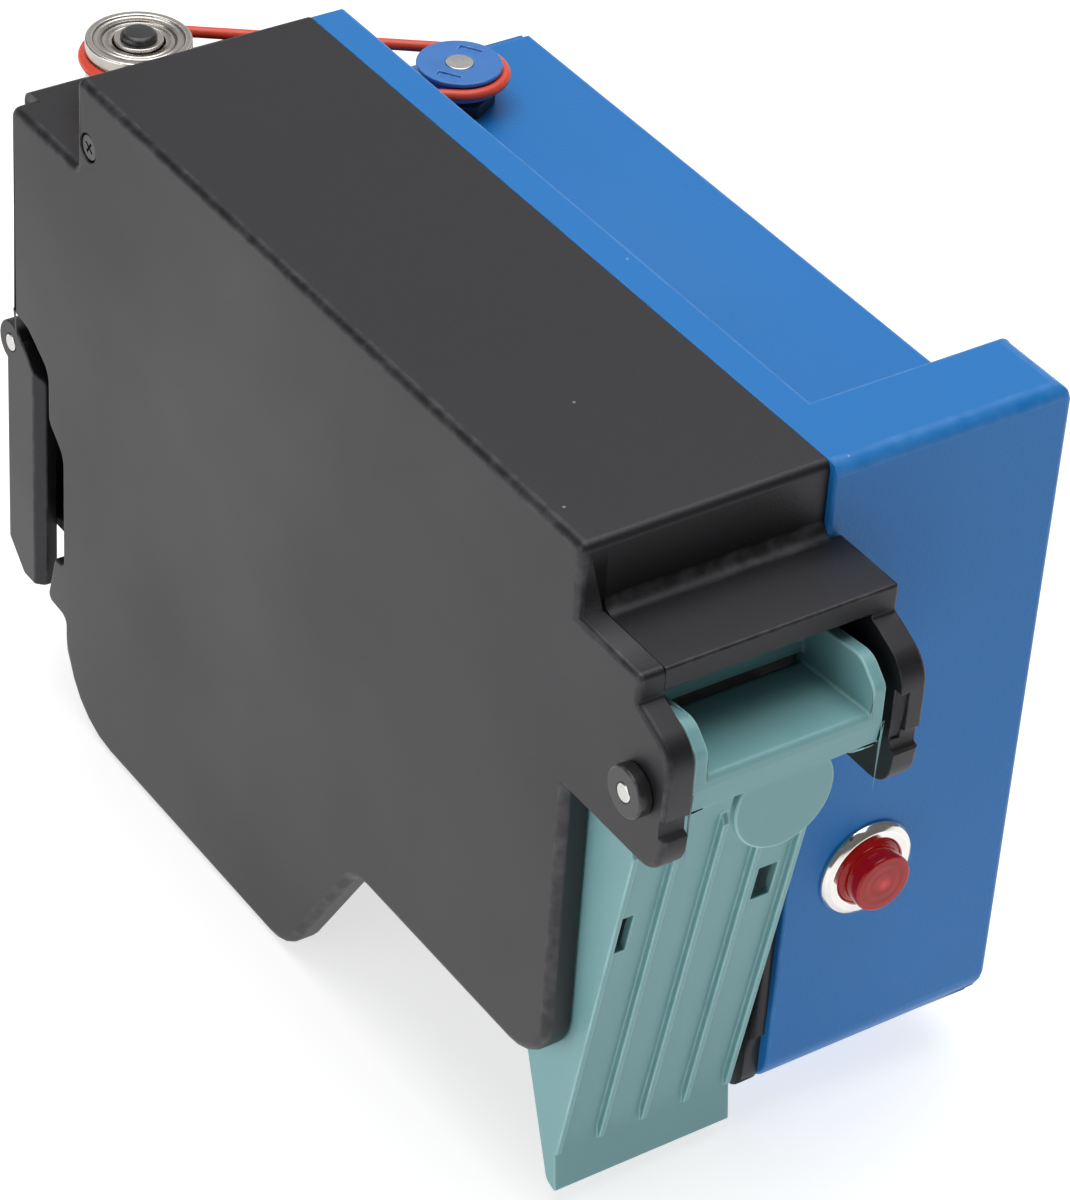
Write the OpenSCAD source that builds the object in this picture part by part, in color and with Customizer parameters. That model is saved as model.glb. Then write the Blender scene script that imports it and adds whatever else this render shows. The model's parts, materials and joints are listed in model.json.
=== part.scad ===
// Ticket intake module of a parking pay station.
// Design frame: the top front left corner of the black body is (0, 0, 0), +X runs to the customer,
// +Y across the module to the blue carrier and +Z up. place() then moves every sub-part so that the
// origin is the centre of the four mounting holes in the carrier's right side.

/* [Black body] */
// Length of the raised block
block_l = 186.5; // [150:0.5:230]
// Length of the low shelf behind the block
shelf_l = 29; // [26:0.5:34]
// Depth of the shelf below the top
shelf_drop = 21.6; // [20:0.1:28]
// Reach of the housing's shelf behind the side cover
shelf_over = 4; // [0:0.5:6]
// Width of the black body with its side cover
black_w = 55.3; // [50:0.1:70]
// Height of the black body
body_h = 128; // [120:1:160]
// Reach of the cover's lower lobe below the body
lobe_drop = 40; // [20:1:50]
// Distance of the lower lobe's front foot behind the body's front
lobe_back = 95; // [85:1:115]
// Thickness of the side cover's tray and of its ear
cover_t = 5.8; // [5:0.1:8]
// Skin of the side cover
cover_skin = 2.4; // [1.8:0.1:3]
// Wall of the moulded housing
wall = 2.6; // [2:0.1:3.2]
// Wall of the housing beside the blue carrier
side_wall = 3.8; // [3:0.1:5]
// Depth of the cover screw below the top
screw_drop = 14.4; // [12:0.1:18]
// Distance of the cover screw in front of the block's rear
screw_in = 5.1; // [4.8:0.1:8]
// Radius of the cover screw's head
screw_head_r = 2.9; // [2.4:0.1:3.2]

/* [Nose] */
// Depth of the ledge below the top
ledge_drop = 16; // [12:0.5:20]
// Reach of the ledge in front of the body
ledge_l = 20; // [18:0.5:24]
// Height of the ledge's front edge
ledge_edge = 5; // [4:0.5:7]
// Reach of the ears beyond the ledge
ear_reach = 11; // [9:0.5:14]
// Overhang of the ledge and right ear over the blue panel
ear_over = 2.9; // [2:0.1:4]
// Height of the hinge pin below the top
pin_drop = 39.6; // [38:0.1:42]
// Reach of the hinge pin in front of the body
pin_reach = 22; // [20:0.5:24]
// Radius of the hinge pin
pin_r = 2; // [1.5:0.1:2.5]
// Radius of the push-on collars
collar_r = 5.3; // [4.5:0.1:6]
// Thickness of the push-on collars
collar_t = 3; // [2:0.1:4]

/* [Intake throat and return chute] */
// Wall of the throat's cheeks
cheek_t = 3; // [2:0.1:4]
// Height of the ticket slot
slot_h = 2.4; // [1.6:0.1:3]
// Height of the throat's lip
lip_h = 8; // [6:0.5:10]
// Radius of the round tab under the lip
tab_r = 11.2; // [8:0.1:13]
// Side gap beside the throat and the chute
nose_gap = 0.7; // [0.4:0.1:1.2]
// Gap that the throat's return spring fills at the right ear
spring_gap = 2.9; // [2:0.1:4]
// Width of the return chute
chute_w = 42.8; // [34:0.1:50]
// Wall of the return chute
chute_wall = 2; // [1.5:0.1:3]
// Height of the chute's ribs
rib_h = 1.5; // [0.8:0.1:2]
// Width of the chute's ribs
rib_w = 1.4; // [1:0.1:2]
// Depth of the chute's sight windows below the top
window_drop = 84.5; // [80:0.5:100]
// Height of the chute's sight windows
window_h = 10; // [6:0.5:14]
// Number of ribs on the chute
rib_n = 5; // [3:1:7]

/* [Blue carrier] */
// Width of the blue carrier
carrier_w = 56.5; // [50:0.5:80]
// Height of the blue carrier
carrier_h = 156; // [140:1:180]
// Width of the flush strip beside the black body
strip_w = 8.5; // [7:0.5:12]
// Depth of the recessed deck below the top
deck_drop = 19; // [17:0.5:26]
// Depth of the front panel's hollow block
panel_l = 20; // [12:0.5:26]
// Step of the front panel in front of the black body
panel_step = 1.8; // [1:0.1:3]
// Wall of the carrier
carrier_wall = 2.6; // [2:0.1:3.5]
// Height of a mounting hole above and below the centre
mount_half_z = 45; // [35:1:55]
// Distance of a mounting hole before and behind the centre
mount_half_x = 65; // [50:1:70]
// Radius of a mounting hole
mount_r = 2.2; // [1.6:0.1:2.7]
// Radius of the front panel's lower outer corner
panel_corner_r = 7.5; // [5:0.5:10]

/* [Push button] */
// Distance of the button from the panel's left edge
button_in = 19.2; // [16:0.1:24]
// Depth of the button below the top
button_drop = 104; // [90:0.5:120]
// Radius of the button's barrel
barrel_r = 8.7; // [8.3:0.1:10]
// Radius of the chrome bezel
bezel_r = 11.1; // [10.5:0.1:13]
// Travel of the button
button_travel = 2.5; // [1:0.1:2.9]

/* [Round belt drive] */
// Radius of the idler wheel
wheel_r = 11.4; // [10:0.1:13]
// Thickness of the idler wheel
wheel_t = 9; // [8:0.1:10]
// Radius of the drive pulley
pulley_r = 9.25; // [8:0.05:12]
// Thickness of the drive pulley
pulley_t = 4.8; // [4:0.1:6]
// Radius of the round belt
belt_r = 1.25; // [1:0.05:1.6]
// Depth of the belt's plane below the top
belt_drop = 11.5; // [10:0.1:13]
// Distance of the idler's axle behind the block
idler_back = 18.2; // [16:0.1:20]
// Distance of the idler's axle from the left face
idler_in = 25.2; // [22:0.1:32]
// Distance of the drive shaft in front of the block's rear
drive_fore = 19.1; // [17:0.1:30]
// Distance of the drive shaft inside the blue strip
drive_in = 18; // [15:0.1:24]
// Radius of the drive shaft
drive_shaft_r = 3.1; // [2:0.1:4]

/* [Ticket transport] */
// Radius of the driven feed rollers
feed_r = 8.5; // [7:0.1:10]
// Radius of the pinch rollers
pinch_r = 6; // [5:0.1:8]
// Radius of the feed shafts
shaft_r = 2.5; // [2:0.1:3]
// Radius of the pinch shafts
pinch_shaft_r = 2; // [1.5:0.1:2.5]
// Distance of the front rollers behind the body's front
front_x = 40; // [36:1:50]
// Distance of the rear rollers behind the body's front
rear_x = 125; // [110:1:135]
// Gear module
gear_m = 0.8; // [0.7:0.05:0.9]
// Teeth on the motor pinion
pinion_n = 16; // [14:1:20]
// Teeth on the feed gear
gear_n = 36; // [34:1:40]

/* [Rear latch] */
// Radius of the latch pin
latch_pin_r = 2; // [1.5:0.1:2.5]
// Height of the latch pin below the top
latch_drop = 83.5; // [78:0.5:90]
// Length of the latch lever below its pin
latch_l = 60; // [50:0.5:61]

/* [Hidden] */
$fn = 48;
eps = 0.01;

black = "#3b3b3f";
blue = "#2f78c8";
teal = "#6fa3a3";
steel = "#b9b9bb";
red = "#c01818";
brass = "#b08d3c";
green = "#1f6b3c";

// Run clearances
run_fit = 0.05;
face_gap = 0.3;

// Overall places
body_rear = -(block_l + shelf_l);
shelf_rear = body_rear - shelf_over;
carrier_y0 = black_w;
carrier_y1 = black_w + carrier_w;
strip_y1 = carrier_y0 + strip_w;
carrier_rear = -(block_l - 1.5);
panel_x = panel_step;
inner_y = black_w - side_wall;
lobe_z = -(body_h + lobe_drop);
wall_foot_z = -(carrier_h - 14);
wall_low_z = -(carrier_h + 2);
mount_x = carrier_rear / 2;
mount_z = -(deck_drop + carrier_h) / 2;

// Cover screw
screw_x = -block_l + screw_in;
screw_z = -screw_drop;
screw_seat = 1.2;
thread_r = 1.25;

// Nose places
ledge_z = -ledge_drop;
pin_x = pin_reach;
pin_z = -pin_drop;
ear_x = ledge_l + ear_reach;
ear_below = 16;
ear_z = pin_z - ear_below;
ear_y1 = black_w + ear_over;
ear_y0 = ear_y1 - cover_t;
channel_x = -18;
channel_z = ear_z;

// Depth of the notch in the ears' front edge
ear_notch = 1.4;

// Throat places
throat_y0 = cover_t + nose_gap;
throat_y1 = ear_y0 - spring_gap;
path_z = pin_z + 3.4;
slot_x = pin_x - 13.3;
lip_x = pin_x + 8;
lip_z = pin_z + 4.2;
floor_t = 2;
// Drop behind the slot, where the floor ends
slot_step = 1.3;
tab_y = (throat_y0 + throat_y1) / 2 + 1;
slot_low = path_z - slot_h / 2;
slot_top = path_z + slot_h / 2;

// Chute places
chute_y0 = cover_t + nose_gap;
chute_y1 = chute_y0 + chute_w;
chute_top_z = ear_z + 3.4;
chute_tip_z = -(carrier_h + 7.7);
chute_low_z = chute_tip_z + 9.7;
face_top_x = pin_x - 5.1 - rib_h;
face_low_x = -1.2 - rib_h;
face_low_z = chute_low_z + 3;

// Radius of the front panel's foot
foot_r = 8;

// Button places
button_y = carrier_y0 + button_in;
button_z = -button_drop;
barrel_l = 28;
switch_top = 13;
led_top = 5.5;
led_r = 2.5;

// Belt places
belt_z = -belt_drop;
run_lap = 0.4;
idler_x = -(block_l + idler_back);
idler_y = idler_in;
drive_x = -(block_l - drive_fore);
drive_y = strip_y1 + drive_in;
wheel_belt_r = wheel_r + 0.2;
pulley_belt_r = pulley_r + 0.55;
wheel_half = wheel_t / 2;
wheel_top = belt_z + wheel_half;
pulley_top = belt_z + pulley_t / 2;
rim_t = 2.5;
ball_space = 3.6;
bearing_out_r = wheel_r - rim_t;
bearing_in_r = bearing_out_r - ball_space;
ball_ring_r = (bearing_in_r + bearing_out_r) / 2;
ball_r = (bearing_out_r - bearing_in_r) / 2 + 0.3;
// As many balls as the ring holds with a small gap between them
ball_n = floor(180 / asin((ball_r + 0.4) / ball_ring_r));
shield_r = wheel_r - 1.7;
stud_r = 3;

// Transport places
plate_t = 1.5;
plate_gap = 5.2;
left_plate_y = cover_t + plate_gap;
right_plate_y = inner_y - 2.5 - plate_t;
between_y0 = left_plate_y + plate_t;
between_y1 = right_plate_y;
feed_z = path_z - feed_r - face_gap / 2;
pinch_z = path_z + pinch_r + face_gap / 2;
gear_dist = gear_m * (pinion_n + gear_n) / 2;
motor_z = feed_z - gear_dist;
stations = [-front_x, -rear_x];
roller_w = 8;
roller_in = 4.5;
bush_r = 4;
bush_collar = 0.8;
guide_t = 1.2;
guide_gap = 1;
guide_x0 = -(rear_x + 25);
guide_x1 = -wall - 0.4;
plate_x0 = guide_x0 + 4;
plate_x1 = -front_x + 17;
plate_z0 = motor_z - 14;
plate_z1 = pinch_z + 8;
spacer_r = 3;
spacer_in = 4.5;
spacer_xs = [plate_x0 + spacer_in, plate_x1 - spacer_in];
spacer_zs = [plate_z0 + spacer_in, plate_z1 - spacer_in];

// Latch places
latch_x = body_rear - 1.5;
latch_z = -latch_drop;
eye_r = 5.2;
latch_w = 13.5;
latch_x0 = latch_x - 1.8;
latch_x1 = latch_x + latch_w - 1.5;
recess_z1 = latch_z + 9.5;
recess_z0 = latch_z - latch_l + 1;
recess_x = body_rear + 16;
pocket_x = body_rear + 22.5;
// Run of the lobe's front slope
lobe_slope = 25.5;

// Connector in the rear plate
plug_y1 = carrier_y1 - 20.1;
plug_y0 = plug_y1 - 17.8;
plug_z0 = -carrier_h + 23.1;
plug_z1 = plug_z0 + 25.8;
plug_fit = 0.1;
plug_wall = 2.5;

// Board places
board_y = carrier_y1 - carrier_wall - 7;
board_t = 1.6;
board_half_x = mount_half_x - 9;
board_half_z = mount_half_z - 6;

// ---------- helpers ----------
function unit(v) = v / norm(v);
function turn(v, a) = [v.x * cos(a) - v.y * sin(a), v.x * sin(a) + v.y * cos(a)];
function flat(p) = [p.x, p.y];

// Points of one corner of an outline; each outline point is [x, z, radius]
function corner(a, b, c, r) =
  let(u = unit(b - a), v = unit(c - b), ang = atan2(cross(u, v), u * v))
  r < 0.02 || abs(ang) < 1 ? [b] :
  let(t = r * tan(abs(ang) / 2), p = b - u * t, s = sign(ang), m = p + s * r * [-u.y, u.x],
      n = max(2, ceil(abs(ang) / 15)))
  [for (k = [0:n]) m + turn(p - m, ang * k / n)];

function rounded(P) = let(n = len(P))
  [for (i = [0:n - 1]) each corner(flat(P[(i + n - 1) % n]), flat(P[i]), flat(P[(i + 1) % n]), P[i][2])];

// A counter-clockwise outline moved inwards by d
function inset(P, d) = let(n = len(P))
  [for (i = [0:n - 1])
    let(a = flat(P[(i + n - 1) % n]), b = flat(P[i]), c = flat(P[(i + 1) % n]),
        u = unit(b - a), v = unit(c - b), nu = [-u.y, u.x], nv = [-v.y, v.x],
        m = (nu + nv) / (1 + nu * nv), q = b + m * d)
    [q.x, q.y, cross(u, v) > 0 ? max(P[i][2] - d, 0) : P[i][2] + d]];

module place() translate([-mount_x, -carrier_y1, -mount_z]) children();

// A side outline in X and Z, extruded from y0 to y1
module slab(y0, y1) translate([0, y1, 0]) rotate([90, 0, 0]) linear_extrude(y1 - y0) children();

module outline(P) polygon(rounded(P));

// A box from its low and high corners
module block(a, b) translate(a) cube(b - a);

// A cylinder along Y, X or Z from a start point
module rod_y(x, y0, y1, z, r) translate([x, y0, z]) rotate([-90, 0, 0]) cylinder(r = r, h = y1 - y0);
module rod_x(x0, x1, y, z, r) translate([x0, y, z]) rotate([0, 90, 0]) cylinder(r = r, h = x1 - x0);
module rod_z(x, y, z0, z1, r) translate([x, y, z0]) cylinder(r = r, h = z1 - z0);

// Involute spur gear in the X-Z plane, one tooth pointing to +X before phase
function involute(a) = tan(a) * 180 / PI - a;
function gear_points(n, m) =
  let(rp = n * m / 2, rb = rp * cos(20), ra = rp + 0.85 * m, rf = rp - 1.25 * m,
      half = 0.44 * 180 / n + involute(20), steps = 4)
  [for (i = [0:n - 1]) let(c = i * 360 / n) each concat(
    [turn([rf, 0], c - half - 0.5)],
    [for (k = [0:steps]) let(r = max(rb, rf) + (ra - max(rb, rf)) * k / steps)
      turn([r, 0], c - (half - involute(acos(min(1, rb / r)))))],
    [for (k = [steps:-1:0]) let(r = max(rb, rf) + (ra - max(rb, rf)) * k / steps)
      turn([r, 0], c + (half - involute(acos(min(1, rb / r)))))],
    [turn([rf, 0], c + half + 0.5)])];

// ---------- black body ----------
ear_outline = [
  [0, ledge_z, 0],
  [0, ear_z, 0],
  [ear_x - 1, ear_z, 6],
  [ear_x, pin_z - 7, 0],
  [ear_x - ear_notch, pin_z - 6.4, 0],
  [ear_x - ear_notch, pin_z - 2.6, 0],
  [ear_x, pin_z - 2, 0],
  [ear_x, pin_z + 12.5, 8],
  [ledge_l + 2, pin_z + 16.8, 1.5],
  [ledge_l, pin_z + 17.6, 1],
  [ledge_l, ledge_z, 1.5]];

cover_outline = [
  [0, 0, 2],
  [-block_l, 0, 2],
  [-block_l, -shelf_drop, 1.5],
  [body_rear, -shelf_drop, 3],
  [body_rear, recess_z1, 1],
  [body_rear + 7, recess_z1 - 1, 5],
  [recess_x, recess_z1 - 7, 5],
  [recess_x, latch_z - 10, 4],
  [pocket_x, latch_z - 16, 5],
  [pocket_x, latch_z - 45.5, 1],
  [pocket_x - 4, latch_z - 46, 1],
  [recess_x - 1, recess_z0, 2],
  [pocket_x + 1, recess_z0 - 0.5, 2],
  [pocket_x + 1, lobe_z, 20],
  [-lobe_back, lobe_z, 12],
  [-lobe_back + lobe_slope, -body_h, 8],
  [0, -body_h, 12],
  [0, ledge_z, 0]];

module side_cover() color(black) difference() {
  union() {
    slab(0, cover_skin) outline(cover_outline);
    slab(cover_skin - eps, cover_t) difference() {
      outline(cover_outline);
      outline(inset(cover_outline, wall));
    }
    slab(0, cover_t) outline(ear_outline);
  }
  rod_y(pin_x, -1, cover_t + 1, pin_z, pin_r);
  rod_y(screw_x, -1, screw_seat, screw_z, screw_head_r + 0.35);
  rod_y(screw_x, -1, cover_t + 1, screw_z, 1.7);
}

housing_outline = [
  [0, 0, 2], [-block_l, 0, 2], [-block_l, -shelf_drop, 1.5], [shelf_rear, -shelf_drop, 3],
  [shelf_rear, -body_h, 3], [channel_x, -body_h, 2], [channel_x, channel_z, 0], [0, channel_z, 0]];
side_wall_outline = [
  [0, 0, 2], [-block_l, 0, 2], [-block_l, -shelf_drop, 0], [carrier_rear, wall_low_z, 6],
  [-1, wall_low_z, 6], [-1, wall_foot_z, 0], [0, wall_foot_z, 0]];

// Corridor that the near run of the round belt takes through the walls
module belt_way() {
  run = [drive_x - idler_x, drive_y - idler_y];
  near_y = -wheel_belt_r;
  far_y = -pulley_belt_r - 1.8;
  translate([idler_x, idler_y, belt_z - 4]) rotate([0, 0, atan2(run.y, run.x)]) linear_extrude(8)
    polygon([[0, near_y - 3.5], [norm(run), far_y - 3.5], [norm(run), far_y + 3.5], [0, near_y + 3.5]]);
}

module main_housing() color(black) difference() {
  union() {
    difference() {
      slab(cover_t, inner_y + eps) outline(housing_outline);
      slab(cover_t - 1, inner_y) outline(inset(housing_outline, wall));
    }
    slab(inner_y, black_w) {
      outline(housing_outline);
      outline(side_wall_outline);
    }
    // ledge
    difference() {
      block([0, cover_t, ledge_z - ledge_edge], [ledge_l, ear_y1, ledge_z]);
      block([-1, cover_t - 1, ledge_z - ledge_edge - 1], [ledge_l - wall, ear_y0, ledge_z - wall]);
      block([-1, black_w, ledge_z - ledge_edge - 1], [panel_x + face_gap, ear_y1 + 1, 1]);
    }
    // right ear
    difference() {
      slab(ear_y0, ear_y1) outline(ear_outline);
      block([-1, black_w, ear_z - 1], [panel_x + face_gap, ear_y1 + 1, 1]);
      block([ear_x - 2, ear_y0 - 1, pin_z - 4.4], [ear_x + 1, ear_y0 + 2, pin_z + 7]);
    }
    // lug of the latch pin and the pocket beside the latch
    rod_y(latch_x, cover_t, cover_t + 9, latch_z, eye_r);
    block([body_rear + 26, cover_t, -body_h + wall], [body_rear + 26 + wall, cover_t + 18, recess_z1]);
    // boss of the cover screw
    rod_y(screw_x, cover_t, cover_t + 9, screw_z, 4);
    // standoffs of the transport frame
    for (x = spacer_xs, z = spacer_zs) rod_y(x, right_plate_y + plate_t, inner_y + eps, z, spacer_r);
  }
  rod_y(latch_x, cover_t - 1, cover_t + 10, latch_z, latch_pin_r);
  rod_y(pin_x, ear_y0 - 1, ear_y1 + 1, pin_z, pin_r);
  rod_y(screw_x, cover_t - 1, cover_t + 8, screw_z, thread_r + run_fit);
  rod_z(idler_x, idler_y, -shelf_drop - wall - 1, -shelf_drop + 1, stud_r);
  // ticket mouth in the front wall
  block([-wall - 1, throat_y0 + cheek_t - 1, path_z - 5], [1, throat_y1 - cheek_t + 1, path_z + 6]);
  belt_way();
}

module cover_screw() color(steel) {
  rod_y(screw_x, 0.3, screw_seat, screw_z, screw_head_r);
  rod_y(screw_x, screw_seat - eps, cover_t + 7.5, screw_z, thread_r);
}

module latch_lever() color(black) difference() {
  slab(0.4, cover_t - 0.5) {
    translate([latch_x, latch_z]) circle(r = eye_r);
    outline([
      [latch_x + 5, latch_z + 2.8, 2],
      [latch_x0, latch_z - 1, 0],
      [latch_x0, latch_z - latch_l + 6.5, 1.5],
      [latch_x + 5, latch_z - latch_l, 1.5],
      [latch_x1, latch_z - latch_l, 1],
      [latch_x1, latch_z - 4.5, 2]]);
  }
  rod_y(latch_x, 0, cover_t + 1, latch_z, latch_pin_r + run_fit);
  // finger bevel
  translate([latch_x1, 0.4, latch_z - latch_l / 2]) rotate([0, 0, 45])
    cube([3, 3, latch_l + 10], center = true);
}

module latch_pin() color(steel) rod_y(latch_x, 0.2, cover_t + 9, latch_z, latch_pin_r);

// ---------- blue carrier ----------
// The carrier's outline seen from the front, moved inwards by d
module corner_form(d) translate([carrier_rear - 10, 0, 0]) rotate([90, 0, 90])
  linear_extrude(panel_x - carrier_rear + 20)
    outline([[carrier_y0, -carrier_h + d, 0], [carrier_y1 - d, -carrier_h + d, panel_corner_r - d],
      [carrier_y1 - d, 1, 0], [carrier_y0, 1, 0]]);

module carrier_shape(d) {
  x0 = d > 0 ? carrier_rear - 1 : carrier_rear;
  // lower box, with its lower outer corner rounded along its length
  intersection() {
    slab(carrier_y0 + d, carrier_y1 - d)
      outline([[panel_x - d, -deck_drop - d, 0], [x0, -deck_drop - d, 0], [x0, -carrier_h + d, 0],
        [panel_x - d, -carrier_h + d, max(foot_r - d, 0)]]);
    corner_form(d);
  }
  // flush strip
  block([x0, carrier_y0 + d, -deck_drop - 2 * d - 1], [panel_x - panel_l / 2, strip_y1 - d, -d]);
  // hollow block of the front panel
  block([panel_x - panel_l + d, carrier_y0 + d, -deck_drop - 2 * d - 1], [panel_x - d, carrier_y1 - d, -d]);
}

module blue_carrier() color(blue) difference() {
  union() {
    difference() {
      carrier_shape(0);
      carrier_shape(carrier_wall);
    }
    // bosses of the mounting holes
    for (sx = [-1, 1], sz = [-1, 1])
      rod_y(mount_x + sx * mount_half_x, carrier_y1 - carrier_wall - 4, carrier_y1 - carrier_wall + eps,
        mount_z + sz * mount_half_z, 6);
    // bosses of the rear plate's screws
    for (y = [carrier_y0 + 7, carrier_y1 - 7], z = [-deck_drop - 7, -carrier_h + 7])
      difference() {
        block([carrier_rear, y - 4.5, z - 4.5], [carrier_rear + 10, y + 4.5, z + 4.5]);
        rod_x(carrier_rear - 1, carrier_rear + 9, y, z, 1.3);
      }
  }
  for (sx = [-1, 1], sz = [-1, 1])
    rod_y(mount_x + sx * mount_half_x, carrier_y1 - 10, carrier_y1 + 1, mount_z + sz * mount_half_z, mount_r);
  rod_x(panel_x - 10, panel_x + 1, button_y, button_z, barrel_r + run_fit);
  rod_z(drive_x, drive_y, -deck_drop - 10, -deck_drop + 1, neck_r);
  belt_way();
}

module rear_plate() color(blue) difference() {
  intersection() {
    block([carrier_rear - 1.5, carrier_y0 + 1, -carrier_h + 1],
      [carrier_rear, carrier_y1 - 1, -deck_drop - 1]);
    corner_form(1);
  }
  for (y = [carrier_y0 + 7, carrier_y1 - 7], z = [-deck_drop - 7, -carrier_h + 7])
    rod_x(carrier_rear - 3, carrier_rear + 1, y, z, 1.7);
  block([carrier_rear - 3, plug_y0 - plug_fit, plug_z0 - plug_fit],
    [carrier_rear + 1, plug_y1 + plug_fit, plug_z1 + plug_fit]);
}

module rear_plate_screws() color(steel)
  for (y = [carrier_y0 + 7, carrier_y1 - 7], z = [-deck_drop - 7, -carrier_h + 7]) {
    rod_x(carrier_rear - 3.3, carrier_rear - 1.5, y, z, 2.8);
    rod_x(carrier_rear - 1.5 - eps, carrier_rear + 8, y, z, 1.25);
  }

module io_connector() color("#e8e4d8") difference() {
  block([carrier_rear - 5, plug_y0, plug_z0], [carrier_rear + 9, plug_y1, plug_z1]);
  block([carrier_rear - 6, plug_y0 + plug_wall, plug_z0 + plug_wall],
    [carrier_rear + 4, plug_y1 - plug_wall, plug_z1 - plug_wall]);
}

// ---------- nose ----------
module hinge_pin() color(steel) rod_y(pin_x, -collar_t - 0.1, ear_y1 + collar_t + 0.1, pin_z, pin_r);

module pin_collars() color(black) for (y = [-collar_t, ear_y1]) difference() {
  rod_y(pin_x, y, y + collar_t, pin_z, collar_r);
  rod_y(pin_x, y - 1, y + collar_t + 1, pin_z, pin_r);
}

cheek_outline = [
  [slot_x - floor_t, pin_z + 12.5, 2],
  [slot_x - floor_t, pin_z - 8, 2],
  [pin_x + 2.5, pin_z - 9, 4],
  [pin_x + 6.6, pin_z - 5, 2],
  [lip_x, lip_z - 2.6, 0.6],
  [lip_x, pin_z + 10, 3],
  [pin_x + 3.2, pin_z + 14.6, 5]];

module intake_throat() color(teal) difference() {
  union() {
    for (y = [throat_y0, throat_y1 - cheek_t]) slab(y, y + cheek_t) outline(cheek_outline);
    // floor, lip and back wall
    slab(throat_y0 + eps, throat_y1 - eps) {
      polygon([[slot_x - floor_t, slot_top + 9], [slot_x - floor_t, pin_z - 5],
        [slot_x, pin_z - 5], [slot_x, slot_top + 9]]);
      polygon([[slot_x - floor_t, slot_low], [slot_x - floor_t, slot_low - floor_t],
        [lip_x - 1.5, lip_z - floor_t], [lip_x - 1.5, lip_z]]);
      outline([[lip_x - 2.4, lip_z - 1.4, 0], [lip_x - 2.4, lip_z - lip_h, 0],
        [lip_x - 0.8, lip_z - lip_h, 0], [lip_x, lip_z - 2.6, 0], [lip_x, lip_z, 1.2],
        [lip_x - 1.5, lip_z, 0]]);
    }
    rod_y(pin_x, throat_y0 + eps, throat_y1 - eps, pin_z, pin_r + 1.5);
    // round tab
    intersection() {
      rod_x(lip_x - 2.8, lip_x - 0.8, tab_y, pin_z - 9, tab_r);
      block([0, 0, -100], [60, 100, lip_z - 1]);
    }
  }
  rod_y(pin_x, throat_y0 - 1, throat_y1 + 1, pin_z, pin_r + run_fit);
  block([slot_x - 5, throat_y0 + cheek_t, slot_low - slot_step],
    [slot_x + eps, throat_y1 - cheek_t, slot_top]);
}

// Closed torsion spring, three turns that touch
module throat_spring() color(steel) translate([pin_x, throat_y1 + face_gap, pin_z]) rotate([-90, 0, 0])
  rotate_extrude() {
    wire = (spring_gap - 2 * face_gap) / 6;
    for (k = [0:2]) translate([pin_r + 0.4 + wire, wire * (1 + 2 * k)]) circle(r = wire, $fn = 20);
    translate([pin_r + 0.4 + wire * 0.5, wire]) square([wire, wire * 4]);
  }

// Side outline of the chute, without its ribs
chute_outline = [
  [face_top_x, chute_top_z, 0], [nose_gap, chute_top_z, 0], [nose_gap, channel_z - nose_gap, 0],
  [channel_x + 2, channel_z - nose_gap, 2], [channel_x + 2, -body_h, 0],
  [channel_x + 3.6, -body_h - 6.3, 2], [-4.6, chute_tip_z + 1.1, 2], [-1.1, chute_tip_z, 0.5],
  [face_low_x, face_low_z, 0]];

function face_x(z) = face_low_x + (face_top_x - face_low_x) * (z - face_low_z) / (chute_top_z - face_low_z);
function face_point(z, out) = [face_x(z) + out, z];
rib_root = -chute_wall / 2;
rib_top_z = chute_top_z - 9;
module chute_rib(y) slab(y, y + rib_w)
  polygon([face_point(rib_top_z, rib_root), face_point(face_low_z, rib_root),
    face_point(chute_low_z, 0), face_point(chute_low_z, rib_h), face_point(rib_top_z - 4, rib_h)]);

module return_chute() color(teal) difference() {
  union() {
    slab(chute_y0, chute_y1) outline(chute_outline);
    for (i = [0:rib_n - 1]) chute_rib(chute_y0 + i * (chute_w - rib_w) / (rib_n - 1));
  }
  // hollow, open behind, above and below
  slab(chute_y0 + chute_wall, chute_y1 - chute_wall)
    polygon([
      face_point(chute_top_z + 1, -chute_wall),
      [channel_x - 5, chute_top_z + 1],
      [channel_x - 5, chute_tip_z - 5],
      [face_low_x, chute_tip_z - 5],
      face_point(face_low_z, -chute_wall)]);
  // sight windows
  block([0, chute_y0 + 2.6, -window_drop - window_h], [30, chute_y0 + 5.3, -window_drop]);
  block([0, chute_y1 - 7.9, -window_drop - window_h], [30, chute_y1 - 3.4, -window_drop - 1]);
}

// ---------- push button ----------
module button_bezel() color(steel) translate([panel_x, button_y, button_z]) rotate([0, 90, 0])
  rotate_extrude() polygon([[barrel_r - 1, 0], [bezel_r, 0], [bezel_r, 0.6], [bezel_r - 0.5, 1.4],
    [bezel_r - 1.6, 2], [barrel_r - 0.6, 2], [barrel_r - 1, 1.6]]);

module button_barrel() color(black) difference() {
  rod_x(panel_x - barrel_l, panel_x, button_y, button_z, barrel_r);
  rod_x(panel_x - barrel_l - 1, panel_x + 1, button_y, button_z, barrel_r - 1);
}

module button_lens() color(red) translate([panel_x, button_y, button_z]) rotate([0, 90, 0])
  rotate_extrude() let(r = barrel_r - 1 - 0.1)
    polygon([[r - 2, -6], [r, -6], [r, 1.7], [r - 1, 2.2], [r - 1, 6.2], [r - 1.4, 6.6], [0, 6.6], [0, 4.5],
      [3.4, 4.5], [3.4, -1], [r - 2, -1]]);

module button_nut() color(steel) difference() {
  translate([panel_x - carrier_wall - 3, button_y, button_z]) rotate([0, 90, 0])
    cylinder(r = bezel_r, h = 3, $fn = 6);
  rod_x(panel_x - 20, panel_x, button_y, button_z, barrel_r);
}

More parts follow.
